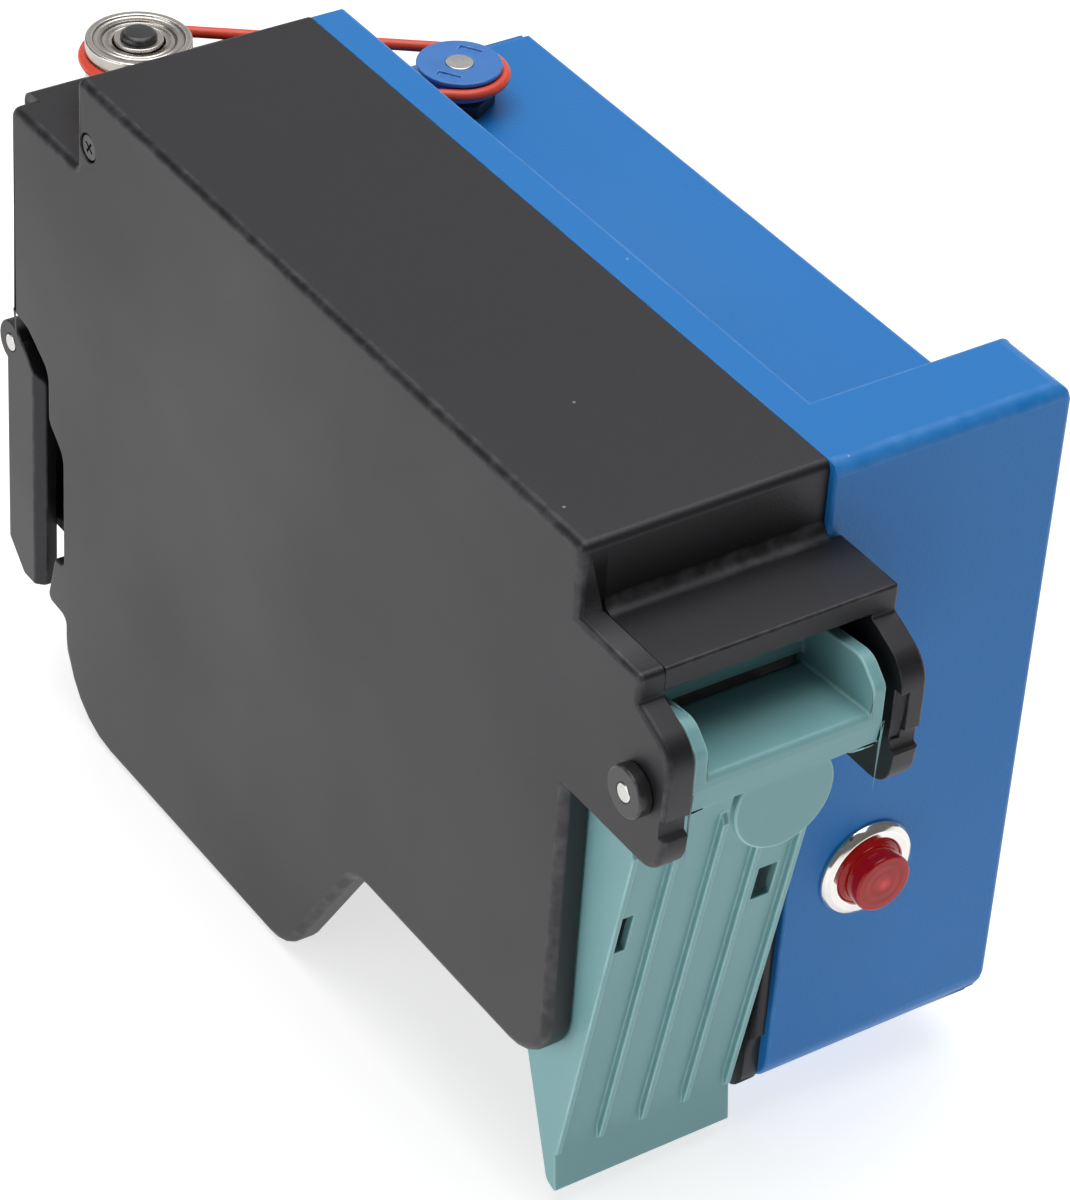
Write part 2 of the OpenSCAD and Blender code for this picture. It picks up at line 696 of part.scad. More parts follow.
module button_switch() color("#d9d4c8") {
  rod_x(panel_x - barrel_l, panel_x - switch_top, button_y, button_z, barrel_r - 1);
  for (a = [-3, 3], b = [-3, 3])
    translate([panel_x - barrel_l, button_y + a, button_z + b])
      block([-6, -0.4, -1], [eps, 0.4, 1]);
}

module button_led() color("#ffb0a0") {
  rod_x(panel_x - switch_top, panel_x - led_top, button_y, button_z, led_r);
  translate([panel_x - led_top - eps, button_y, button_z]) rotate([0, 90, 0])
    rotate_extrude() intersection() { circle(r = led_r); square(3); }
}

module button_spring() color(steel) translate([panel_x - switch_top, button_y, button_z]) rotate([0, 90, 0])
  rotate_extrude() {
    wire = 0.5;
    turns = floor((switch_top - 1 - button_travel - 0.2) / (2 * wire));
    for (k = [0:turns - 1]) translate([4.6, wire * (1 + 2 * k)]) circle(r = wire, $fn = 16);
    translate([4.4, wire]) square([0.4, wire * 2 * (turns - 1)]);
  }

// ---------- round belt drive ----------
module idler_stud() color(steel) {
  rod_z(idler_x, idler_y, -shelf_drop - wall - 5, wheel_top, stud_r);
}

module idler_nut() color(steel) difference() {
  translate([idler_x, idler_y, -shelf_drop - wall - 4]) cylinder(r = 5.6, h = 4, $fn = 6);
  rod_z(idler_x, idler_y, -shelf_drop - wall - 6, -shelf_drop - wall + 1, stud_r);
}

module idler_spacer() color(brass) difference() {
  rod_z(idler_x, idler_y, -shelf_drop, wheel_top - wheel_t, bearing_in_r);
  rod_z(idler_x, idler_y, -shelf_drop - 1, wheel_top, stud_r);
}

module idler_frame() translate([idler_x, idler_y, belt_z]) children();

module idler_inner_ring() color(steel) idler_frame() rotate_extrude() difference() {
  translate([stud_r, -wheel_t / 2]) square([bearing_in_r - stud_r, wheel_t]);
  translate([ball_ring_r, 0]) circle(r = ball_r + run_fit);
}

module idler_wheel() color(steel) idler_frame() rotate_extrude() difference() {
  translate([bearing_out_r, -wheel_t / 2]) square([wheel_r - bearing_out_r, wheel_t]);
  translate([ball_ring_r, 0]) circle(r = ball_r + run_fit);
  translate([wheel_belt_r, 0]) circle(r = belt_r + face_gap);
  for (s = [-1, 1]) translate([0, s * wheel_t / 2]) square([2 * shield_r, 2], center = true);
}

module idler_shields() color(steel) idler_frame() for (s = [-1, 1]) rotate_extrude()
  scale([1, s]) polygon([
    [bearing_in_r + 0.4, wheel_half - 1.3],
    [bearing_out_r - 0.4, wheel_half - 1.3],
    [bearing_out_r - 0.4, wheel_half - 1],
    [shield_r, wheel_half - 1],
    [shield_r, wheel_half - 0.4],
    [bearing_out_r - 0.8, wheel_half - 0.4],
    [bearing_out_r - 1.2, wheel_half - 0.8],
    [bearing_in_r + 0.4, wheel_half - 0.8]]);

module ball_ring(r) for (i = [0:ball_n - 1])
  rotate([0, 0, i * 360 / ball_n]) translate([ball_ring_r, 0, 0]) sphere(r = r);

module idler_balls() color(steel) idler_frame() ball_ring(ball_r);

module idler_cage() color(brass) idler_frame() difference() {
  rotate_extrude() translate([bearing_in_r + 0.5, 1]) square([bearing_out_r - bearing_in_r - 1, 1.8]);
  ball_ring(ball_r + run_fit);
}

module idler_cap() color(black) translate([idler_x, idler_y, wheel_top])
  rotate_extrude() polygon([[0, 0], [4, 0], [3.9, 0.9], [3.2, 1.5], [0, 1.8]]);

module round_belt() color(red) {
  run = [drive_x - idler_x, drive_y - idler_y];
  len = norm(run);
  lean = asin((wheel_belt_r - pulley_belt_r) / len);
  translate([idler_x, idler_y, belt_z]) rotate([0, 0, atan2(run.y, run.x)]) {
    rotate([0, 0, 90 - lean]) rotate_extrude(angle = 180 + 2 * lean, $fn = 96)
      translate([wheel_belt_r, 0]) circle(r = belt_r, $fn = 24);
    translate([len, 0, 0]) rotate([0, 0, -90 + lean]) rotate_extrude(angle = 180 - 2 * lean, $fn = 96)
      translate([pulley_belt_r, 0]) circle(r = belt_r, $fn = 24);
    for (s = [-1, 1]) {
      p = [wheel_belt_r * sin(lean), s * wheel_belt_r * cos(lean)];
      q = [len + pulley_belt_r * sin(lean), s * pulley_belt_r * cos(lean)];
      translate([p.x, p.y, 0]) rotate([0, 0, atan2(q.y - p.y, q.x - p.x)]) rotate([0, 90, 0])
        translate([0, 0, -run_lap]) cylinder(r = belt_r - 0.02, h = norm(q - p) + 2 * run_lap, $fn = 24);
    }
  }
}

module drive_pulley() color(blue) translate([drive_x, drive_y, belt_z]) difference() {
  rotate_extrude() difference() {
    translate([drive_shaft_r, -pulley_t / 2]) square([pulley_r - drive_shaft_r, pulley_t]);
    translate([pulley_belt_r, 0]) circle(r = belt_r + face_gap);
  }
  for (s = [-1, 1]) rotate([0, 0, 35]) translate([0, s * 6, pulley_t / 2]) cube([5, 1.5, 1.2], center = true);
}

gearbox_r = 15;
gearbox_h = 22;
neck_r = drive_shaft_r + 2;
under_deck = -deck_drop - carrier_wall;
module drive_shaft() color(steel) rod_z(drive_x, drive_y, under_deck - 12, pulley_top + 0.1, drive_shaft_r);

module drive_gearbox() color("#8d8f92") difference() {
  union() {
    rod_z(drive_x, drive_y, under_deck - gearbox_h, under_deck, gearbox_r);
    rod_z(drive_x, drive_y, under_deck - 1, -deck_drop + 3.4, neck_r);
  }
  rod_z(drive_x, drive_y, under_deck - 12.4, -deck_drop + 6, drive_shaft_r + run_fit);
}

module gearbox_nut() color(black) difference() {
  translate([drive_x, drive_y, -deck_drop]) cylinder(r = neck_r + 3, h = 3, $fn = 6);
  rod_z(drive_x, drive_y, -deck_drop - 1, -deck_drop + 5, neck_r);
}

module drive_motor() color(steel) {
  top = under_deck - gearbox_h;
  rod_z(drive_x, drive_y, top - 34, top, 13.5);
  rod_z(drive_x, drive_y, top - 38, top - 34 + eps, 5);
}

// ---------- ticket transport ----------
module frame_plate(y) difference() {
  block([plate_x0, y, plate_z0], [plate_x1, y + plate_t, plate_z1]);
  for (x = stations) {
    rod_y(x, y - 1, y + plate_t + 1, feed_z, bush_r);
    rod_y(x, y - 1, y + plate_t + 1, pinch_z, pinch_shaft_r);
  }
  // lightening window
  block([plate_x0 + 16, y - 1, plate_z0 + 10], [plate_x1 - 46, y + plate_t + 1, feed_z - 7]);
}

module frame_plate_left() color(steel) difference() {
  frame_plate(left_plate_y);
  rod_y(-front_x, left_plate_y - 1, left_plate_y + plate_t + 1, motor_z, 3);
}

module frame_plate_right() color(steel) frame_plate(right_plate_y);

module frame_spacers() color(brass)
  for (x = spacer_xs, z = spacer_zs) rod_y(x, between_y0, between_y1, z, spacer_r);

// A bush from its outer face y0 to y1, with a thin collar from c0 to c1
module bush(x, y0, y1, c0, c1) difference() {
  union() {
    rod_y(x, y0, y1, feed_z, bush_r);
    rod_y(x, c0, c1, feed_z, bush_r + 1.2);
  }
  rod_y(x, y0 - 1, y1 + 1, feed_z, shaft_r + run_fit);
}

module feed_bushes() color(brass) for (x = stations) {
  bush(x, left_plate_y, between_y0 + bush_collar, between_y0, between_y0 + bush_collar);
  bush(x, between_y1 - bush_collar, right_plate_y + plate_t, between_y1 - bush_collar, between_y1);
}

module feed_shaft(x) rod_y(x, left_plate_y - 4, inner_y - 0.4, feed_z, shaft_r);

module feed_shaft_front() color(steel) feed_shaft(-front_x);
module feed_shaft_rear() color(steel) feed_shaft(-rear_x);

module roller_pair(x, z, r, bore) for (y = [between_y0 + roller_in, between_y1 - roller_in - roller_w])
  difference() {
    rod_y(x, y, y + roller_w, z, r);
    rod_y(x, y - 1, y + roller_w + 1, z, bore);
  }

module feed_rollers_front() color("#2a2a2c") roller_pair(-front_x, feed_z, feed_r, shaft_r);
module feed_rollers_rear() color("#2a2a2c") roller_pair(-rear_x, feed_z, feed_r, shaft_r);

module pinch_shafts() color(steel) for (x = stations)
  rod_y(x, left_plate_y, right_plate_y + plate_t, pinch_z, pinch_shaft_r);

module pinch_pair(x) roller_pair(x, pinch_z, pinch_r, pinch_shaft_r + run_fit);
module pinch_rollers_front() color("#55565a") pinch_pair(-front_x);
module pinch_rollers_rear() color("#55565a") pinch_pair(-rear_x);

// Toothed belt drive that turns the rear feed shaft with the front one
sync_y0 = right_plate_y + plate_t + 0.4;
sync_y1 = inner_y - 0.6;
sync_r = 5;
module sync_pulley(x) difference() {
  rod_y(x, sync_y0, sync_y1, feed_z, sync_r);
  rod_y(x, sync_y0 - 1, sync_y1 + 1, feed_z, shaft_r);
}

module sync_pulley_front() color(steel) sync_pulley(-front_x);
module sync_pulley_rear() color(steel) sync_pulley(-rear_x);

module sync_loop(y0, y1, r) {
  for (x = stations) rod_y(x, y0, y1, feed_z, r);
  block([-rear_x, y0, feed_z - r], [-front_x, y1, feed_z + r]);
}

module sync_belt() color("#2a2a2c") difference() {
  sync_loop(sync_y0, sync_y1, sync_r + face_gap + 1.2);
  sync_loop(sync_y0 - 1, sync_y1 + 1, sync_r + face_gap);
}

module feed_gear() color("#e9e6da") difference() {
  translate([-front_x, 0, feed_z]) slab(left_plate_y - 3.6, left_plate_y - 0.6)
    rotate(90) polygon(gear_points(gear_n, gear_m));
  rod_y(-front_x, left_plate_y - 5, left_plate_y + 1, feed_z, shaft_r);
}

module feed_pinion() color(brass) {
  translate([-front_x, 0, motor_z]) slab(left_plate_y - 3.8, left_plate_y - 0.4)
    rotate(90 + 180 / pinion_n) polygon(gear_points(pinion_n, gear_m));
  rod_y(-front_x, left_plate_y - 0.5, between_y0 + 4, motor_z, 1);
}

module feed_motor() color("#9a9c9f") difference() {
  union() {
    rod_y(-front_x, between_y0, between_y1 - 5, motor_z, 11);
    rod_y(-front_x, between_y1 - 5 - eps, between_y1 - 2, motor_z, 4);
    rod_y(-front_x, left_plate_y + 0.3, between_y0 + eps, motor_z, 3);
  }
  rod_y(-front_x, left_plate_y - 1, between_y0 + 4.5, motor_z, 1 + run_fit);
}

module guide(z0, z1, rz, r) difference() {
  block([guide_x0, between_y0, z0], [guide_x1, between_y1, z1]);
  for (x = stations, y = [between_y0 + roller_in, between_y1 - roller_in - roller_w])
    block([x - r, y - 1, z0 - 1], [x + r, y + roller_w + 1, z1 + 1]);
}

module guide_lower() color("#5c5e62") difference() {
  guide(path_z - guide_gap - guide_t, path_z - guide_gap, feed_z, feed_r);
  // room for the bushes' collars, which reach it with small rollers
  for (x = stations, y = [between_y0 - 1, between_y1 - bush_collar - 0.2])
    rod_y(x, y, y + bush_collar + 1.2, feed_z, bush_r + 1.2 + face_gap);
}
module guide_upper() color("#5c5e62")
  guide(path_z + guide_gap, path_z + guide_gap + guide_t, pinch_z, pinch_r);

module read_head() color("#46484c") {
  foot = path_z + guide_gap + guide_t;
  block([-front_x - 50, between_y0 + 8, foot], [-front_x - 28, between_y1 - 8, foot + 13]);
  block([-front_x - 44, between_y0 + 12, foot + 13 - eps], [-front_x - 34, between_y1 - 12, foot + 16]);
}

// ---------- electronics ----------
module board_corners() for (sx = [-1, 1], sz = [-1, 1])
  translate([mount_x + sx * (board_half_x - 4), 0, mount_z + sz * (board_half_z - 4)]) children();

module control_board() color(green) difference() {
  block([mount_x - board_half_x, board_y - board_t, mount_z - board_half_z],
    [mount_x + board_half_x, board_y, mount_z + board_half_z]);
  board_corners() rod_y(0, board_y - board_t - 1, board_y + 1, 0, 1.5);
}

module board_standoffs() color(brass) board_corners() {
  rod_y(0, board_y, carrier_y1 - carrier_wall, 0, 3);
  rod_y(0, board_y - board_t - 1.8, board_y + eps, 0, 1.45);
  rod_y(0, board_y - board_t - 2, board_y - board_t, 0, 2.6);
}

module board_chips() color("#2b2b2e") {
  y = board_y - board_t;
  for (p = [[-30, 14, 16, 16], [10, 12, 12, 8], [10, -14, 12, 8], [-32, -20, 10, 14], [34, 0, 6, 40]])
    block([mount_x + p[0] - p[2] / 2, y - 2.5, mount_z + p[1] - p[3] / 2],
      [mount_x + p[0] + p[2] / 2, y, mount_z + p[1] + p[3] / 2]);
  for (x = [-8, -18]) rod_y(mount_x + x, y - 9, y, mount_z - 18, 3.5);
}

place() side_cover();
place() main_housing();
place() cover_screw();
place() latch_lever();
place() latch_pin();
place() blue_carrier();
place() rear_plate();
place() rear_plate_screws();
place() hinge_pin();
place() pin_collars();
place() intake_throat();
place() throat_spring();
place() return_chute();
place() button_bezel();
place() button_lens();
place() button_barrel();
place() button_nut();
place() button_switch();
place() button_led();
place() button_spring();
place() idler_stud();
place() idler_nut();
place() idler_spacer();
place() idler_inner_ring();
place() idler_balls();
place() idler_cage();
place() idler_wheel();
place() idler_shields();
place() idler_cap();
place() round_belt();
place() drive_pulley();
place() drive_shaft();
place() drive_gearbox();
place() gearbox_nut();
place() drive_motor();
place() frame_plate_left();
place() frame_plate_right();
place() frame_spacers();
place() feed_bushes();
place() feed_shaft_front();
place() feed_shaft_rear();
place() feed_rollers_front();
place() feed_rollers_rear();
place() pinch_shafts();
place() pinch_rollers_front();
place() pinch_rollers_rear();
place() sync_pulley_front();
place() sync_pulley_rear();
place() sync_belt();
place() feed_gear();
place() feed_pinion();
place() feed_motor();
place() guide_lower();
place() guide_upper();
place() read_head();
place() control_board();
place() board_chips();
place() board_standoffs();
place() io_connector();
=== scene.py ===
import json
import math

import bmesh
import bpy
from mathutils import Matrix, Vector


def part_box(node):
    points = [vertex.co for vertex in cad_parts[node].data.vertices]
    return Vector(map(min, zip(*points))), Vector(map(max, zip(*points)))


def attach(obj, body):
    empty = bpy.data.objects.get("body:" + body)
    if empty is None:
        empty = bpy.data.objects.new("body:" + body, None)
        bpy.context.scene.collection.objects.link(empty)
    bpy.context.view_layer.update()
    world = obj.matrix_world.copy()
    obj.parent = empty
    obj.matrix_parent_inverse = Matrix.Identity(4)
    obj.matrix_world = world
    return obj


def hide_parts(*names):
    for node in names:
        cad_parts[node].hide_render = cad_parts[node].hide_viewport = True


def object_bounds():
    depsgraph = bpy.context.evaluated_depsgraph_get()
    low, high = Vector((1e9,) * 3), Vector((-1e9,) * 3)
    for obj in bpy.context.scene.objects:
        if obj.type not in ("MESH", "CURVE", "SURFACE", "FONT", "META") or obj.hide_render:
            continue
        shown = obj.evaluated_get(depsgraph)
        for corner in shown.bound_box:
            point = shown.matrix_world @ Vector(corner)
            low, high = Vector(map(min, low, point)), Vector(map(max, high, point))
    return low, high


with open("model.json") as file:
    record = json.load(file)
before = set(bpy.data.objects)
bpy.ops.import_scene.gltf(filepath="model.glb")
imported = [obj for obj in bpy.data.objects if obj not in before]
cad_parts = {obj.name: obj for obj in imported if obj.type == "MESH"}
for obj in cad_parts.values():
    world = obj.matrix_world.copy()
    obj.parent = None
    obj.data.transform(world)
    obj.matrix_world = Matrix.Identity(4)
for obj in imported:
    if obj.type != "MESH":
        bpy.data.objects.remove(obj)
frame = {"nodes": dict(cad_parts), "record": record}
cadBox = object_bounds()
nodes = frame["nodes"]
bodyOf = {n: body for body, names in frame["record"]["behaviour"]["bodies"].items() for n in names}
print("frame loaded:", len(nodes), "nodes")

# Measures in mm from the maker's own zero, the top front left corner of the black body: x forward, z up
shell = {
    "panelFront": 1.8, "blackWidth": 55.3, "width": 111.8, "rear": -185.0,
    "ledgeTop": -16.0, "ledgeFront": 20.0, "stripWidth": 63.8,
    "deckTop": -19.0, "deckFront": -18.2, "coverInside": 5.8,
    "earStart": 0.5, "earOutside": 58.2, "earLow": -57,
    "notchFront": 28.5, "notchLow": -48, "notchHigh": -40.5,
}
zero = Vector((
    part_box("blue_carrier")[1].x - shell["panelFront"] / 1000,
    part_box("side_cover")[0].y,
    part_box("blue_carrier")[1].z,
))


def local(point):
    return (point - zero) * 1000  # the same place in mm from that corner


cameraLook = {
    "place": (0.626825, -0.508355, 0.572187),
    "tilt": (53.1705, -3.2778, 56.5465),
    "lens": 138.29, "sensor": 36, "near": 0.01, "far": 50,
}
cameraData = bpy.data.cameras.new("camera")
cameraData.lens = cameraLook["lens"]
cameraData.sensor_width = cameraLook["sensor"]
cameraData.clip_start = cameraLook["near"]
cameraData.clip_end = cameraLook["far"]
camera = bpy.data.objects.new("camera", cameraData)
camera.location = cameraLook["place"]
camera.rotation_euler = [math.radians(a) for a in cameraLook["tilt"]]
bpy.context.scene.collection.objects.link(camera)
bpy.context.scene.camera = camera
print("camera placed")


def shaderNode(tree, kind, inputs=None, **settings):
    node = tree.nodes.new(kind)
    for key, value in settings.items():
        setattr(node, key, value)
    for key, value in (inputs or {}).items():
        socket = node.inputs[key]
        if isinstance(value, bpy.types.NodeSocket):
            tree.links.new(value, socket)
        else:
            socket.default_value = value
    return node


def rgba(color):
    return (*color, 1.0) if len(color) == 3 else color


def newGroup(name, inputs, outputs):
    tree = bpy.data.node_groups.new(name, "ShaderNodeTree")
    for label, kind, value in inputs:
        socket = tree.interface.new_socket(label, in_out="INPUT", socket_type="NodeSocket" + kind)
        if value is not None:
            socket.default_value = value
    for label, kind in outputs:
        tree.interface.new_socket(label, in_out="OUTPUT", socket_type="NodeSocket" + kind)
    return tree, tree.nodes.new("NodeGroupInput"), tree.nodes.new("NodeGroupOutput")


def objectCoordinates(tree):
    return tree.nodes.new("ShaderNodeTexCoord").outputs["Object"]


def ramp(tree, value, low, high, toLow=0.0, toHigh=1.0):
    node = shaderNode(tree, "ShaderNodeMapRange", {
        "Value": value, "From Min": low, "From Max": high, "To Min": toLow, "To Max": toHigh})
    return node.outputs[0]


def maths(tree, operation, a, b=None):
    node = shaderNode(tree, "ShaderNodeMath", {0: a}, operation=operation)
    if b is not None:
        if isinstance(b, bpy.types.NodeSocket):
            tree.links.new(b, node.inputs[1])
        else:
            node.inputs[1].default_value = b
    return node.outputs[0]


def mixed(tree, factor, a, b):
    node = shaderNode(tree, "ShaderNodeMix", {0: factor}, data_type="RGBA")
    for index, value in ((6, a), (7, b)):
        if isinstance(value, bpy.types.NodeSocket):
            tree.links.new(value, node.inputs[index])
        else:
            node.inputs[index].default_value = rgba(value)
    return node.outputs[2]


# Moulded or painted skin: slow colour drift, fine grain in the height and uneven gloss
def makeSkinGroup():
    tree, given, out = newGroup("mouldedSkin", [
        ("Color", "Color", (0.5, 0.5, 0.5, 1)), ("Drift Color", "Color", (0.4, 0.4, 0.4, 1)),
        ("Drift Scale", "Float", 30.0), ("Drift Amount", "Float", 0.5), ("Grain Scale", "Float", 2500.0),
        ("Gloss Low", "Float", 0.4), ("Gloss High", "Float", 0.5),
    ], [("Color", "Color"), ("Roughness", "Float"), ("Height", "Float")])
    place = objectCoordinates(tree)
    slow = shaderNode(tree, "ShaderNodeTexNoise", {
        "Vector": place, "Scale": given.outputs["Drift Scale"], "Detail": 4.0})
    fine = shaderNode(tree, "ShaderNodeTexNoise", {
        "Vector": place, "Scale": given.outputs["Grain Scale"], "Detail": 2.0})
    drift = maths(tree, "MULTIPLY", ramp(tree, slow.outputs[0], 0.35, 0.65), given.outputs["Drift Amount"])
    gloss = shaderNode(tree, "ShaderNodeMapRange", {
        "Value": slow.outputs[0], "From Min": 0.3, "From Max": 0.7,
        "To Min": given.outputs["Gloss Low"], "To Max": given.outputs["Gloss High"]})
    color = mixed(tree, drift, given.outputs["Color"], given.outputs["Drift Color"])
    tree.links.new(color, out.inputs["Color"])
    tree.links.new(gloss.outputs[0], out.inputs["Roughness"])
    tree.links.new(fine.outputs[0], out.inputs["Height"])
    return tree


# Worn edges, from the attribute that rounded edges carry
def makeEdgeGroup():
    tree, given, out = newGroup("edgeWear", [
        ("Color", "Color", (0.5, 0.5, 0.5, 1)), ("Edge Color", "Color", (0.8, 0.8, 0.8, 1)),
        ("Amount", "Float", 0.5), ("Break Scale", "Float", 400.0), ("Break Low", "Float", 0.42),
    ], [("Color", "Color")])
    edge = shaderNode(tree, "ShaderNodeAttribute", attribute_name="softEdge", attribute_type="GEOMETRY")
    broken = shaderNode(tree, "ShaderNodeTexNoise", {
        "Vector": objectCoordinates(tree), "Scale": given.outputs["Break Scale"], "Detail": 3.0})
    worn = shaderNode(tree, "ShaderNodeMapRange", {
        "Value": broken.outputs[0], "From Min": given.outputs["Break Low"], "From Max": 0.68})
    patchy = maths(tree, "MULTIPLY", edge.outputs["Fac"], worn.outputs[0])
    mask = maths(tree, "MULTIPLY", patchy, given.outputs["Amount"])
    color = mixed(tree, mask, given.outputs["Color"], given.outputs["Edge Color"])
    tree.links.new(color, out.inputs["Color"])
    return tree


# Sparse specks of dust
def makeDustGroup():
    tree, given, out = newGroup("dustSpecks", [
        ("Color", "Color", (0.5, 0.5, 0.5, 1)), ("Dust Color", "Color", (0.6, 0.6, 0.6, 1)),
        ("Scale", "Float", 260.0), ("Size", "Float", 0.05), ("Share", "Float", 0.12),
        ("Strength", "Float", 0.6),
    ], [("Color", "Color")])
    cells = shaderNode(tree, "ShaderNodeTexVoronoi", {
        "Vector": objectCoordinates(tree), "Scale": given.outputs["Scale"], "Randomness": 1.0})
    apart = shaderNode(tree, "ShaderNodeSeparateColor", {"Color": cells.outputs["Color"]})
    chosen = maths(tree, "LESS_THAN", apart.outputs[0], given.outputs["Share"])
    size = maths(tree, "MULTIPLY", apart.outputs[1], given.outputs["Size"])
    speck = maths(tree, "LESS_THAN", cells.outputs["Distance"], size)
    specks = maths(tree, "MULTIPLY", chosen, speck)
    mask = maths(tree, "MULTIPLY", specks, given.outputs["Strength"])
    color = mixed(tree, mask, given.outputs["Color"], given.outputs["Dust Color"])
    tree.links.new(color, out.inputs["Color"])
    return tree


# Turned or brushed metal: fine lines stretched along one direction
def makeMetalGroup():
    tree, given, out = newGroup("brushedMetal", [
        ("Color", "Color", (0.6, 0.6, 0.6, 1)), ("Stain Color", "Color", (0.4, 0.4, 0.4, 1)),
        ("Stretch", "Vector", (1, 1, 12)), ("Scale", "Float", 500.0),
        ("Gloss Low", "Float", 0.2), ("Gloss High", "Float", 0.4),
    ], [("Color", "Color"), ("Roughness", "Float"), ("Height", "Float")])
    place = objectCoordinates(tree)
    stretch = {0: place, 1: given.outputs["Stretch"]}
    drawn = shaderNode(tree, "ShaderNodeVectorMath", stretch, operation="MULTIPLY")
    lines = shaderNode(tree, "ShaderNodeTexNoise", {
        "Vector": drawn.outputs[0], "Scale": given.outputs["Scale"], "Detail": 5.0, "Roughness": 0.7})
    stain = shaderNode(tree, "ShaderNodeTexNoise", {"Vector": place, "Scale": 180.0, "Detail": 3.0})
    stained = ramp(tree, stain.outputs[0], 0.45, 0.75)
    color = mixed(tree, stained, given.outputs["Color"], given.outputs["Stain Color"])
    tree.links.new(color, out.inputs["Color"])
    gloss = shaderNode(tree, "ShaderNodeMapRange", {
        "Value": lines.outputs[0], "From Min": 0.3, "From Max": 0.7,
        "To Min": given.outputs["Gloss Low"], "To Max": given.outputs["Gloss High"]})
    tree.links.new(gloss.outputs[0], out.inputs["Roughness"])
    tree.links.new(lines.outputs[0], out.inputs["Height"])
    return tree


skinGroup = makeSkinGroup()
edgeGroup = makeEdgeGroup()
dustGroup = makeDustGroup()
metalGroup = makeMetalGroup()
print("shader groups built")


def useGroup(tree, group, values):
    node = tree.nodes.new("ShaderNodeGroup")
    node.node_tree = group
    for key, value in values.items():
        if isinstance(value, bpy.types.NodeSocket):
            tree.links.new(value, node.inputs[key])
        else:
            node.inputs[key].default_value = rgba(value) if "Color" in key else value
    return node


def newMaterial(name, shader):
    material = bpy.data.materials.new(name)
    material.use_nodes = True
    tree = material.node_tree
    principled = tree.nodes["Principled BSDF"]
    for key, value in shader.items():
        principled.inputs[key].default_value = value
    return material, tree, principled


def addBump(tree, principled, height, strength, distance):
    bump = shaderNode(tree, "ShaderNodeBump", {
        "Height": height, "Strength": strength, "Distance": distance})
    tree.links.new(bump.outputs[0], principled.inputs["Normal"])


# A plastic, paint or rubber finish: skin, then worn edges, then dust
def makeSkinMaterial(name, look):
    material, tree, principled = newMaterial(name, look.get("shader", {}))
    skin = useGroup(tree, skinGroup, look["skin"])
    color = useGroup(tree, edgeGroup, {"Color": skin.outputs["Color"], **look["edge"]}).outputs["Color"]
    if "dust" in look:
        color = useGroup(tree, dustGroup, {"Color": color, **look["dust"]}).outputs["Color"]
    tree.links.new(color, principled.inputs["Base Color"])
    tree.links.new(skin.outputs["Roughness"], principled.inputs["Roughness"])
    addBump(tree, principled, skin.outputs["Height"], *look["bump"])
    return material


# A metal finish: brushed lines and stains, then worn edges
def makeMetalMaterial(name, look):
    material, tree, principled = newMaterial(name, {"Metallic": 1.0, **look.get("shader", {})})
    metal = useGroup(tree, metalGroup, look["metal"])
    color = useGroup(tree, edgeGroup, {"Color": metal.outputs["Color"], **look["edge"]}).outputs["Color"]
    tree.links.new(color, principled.inputs["Base Color"])
    tree.links.new(metal.outputs["Roughness"], principled.inputs["Roughness"])
    addBump(tree, principled, metal.outputs["Height"], *look["bump"])
    return material


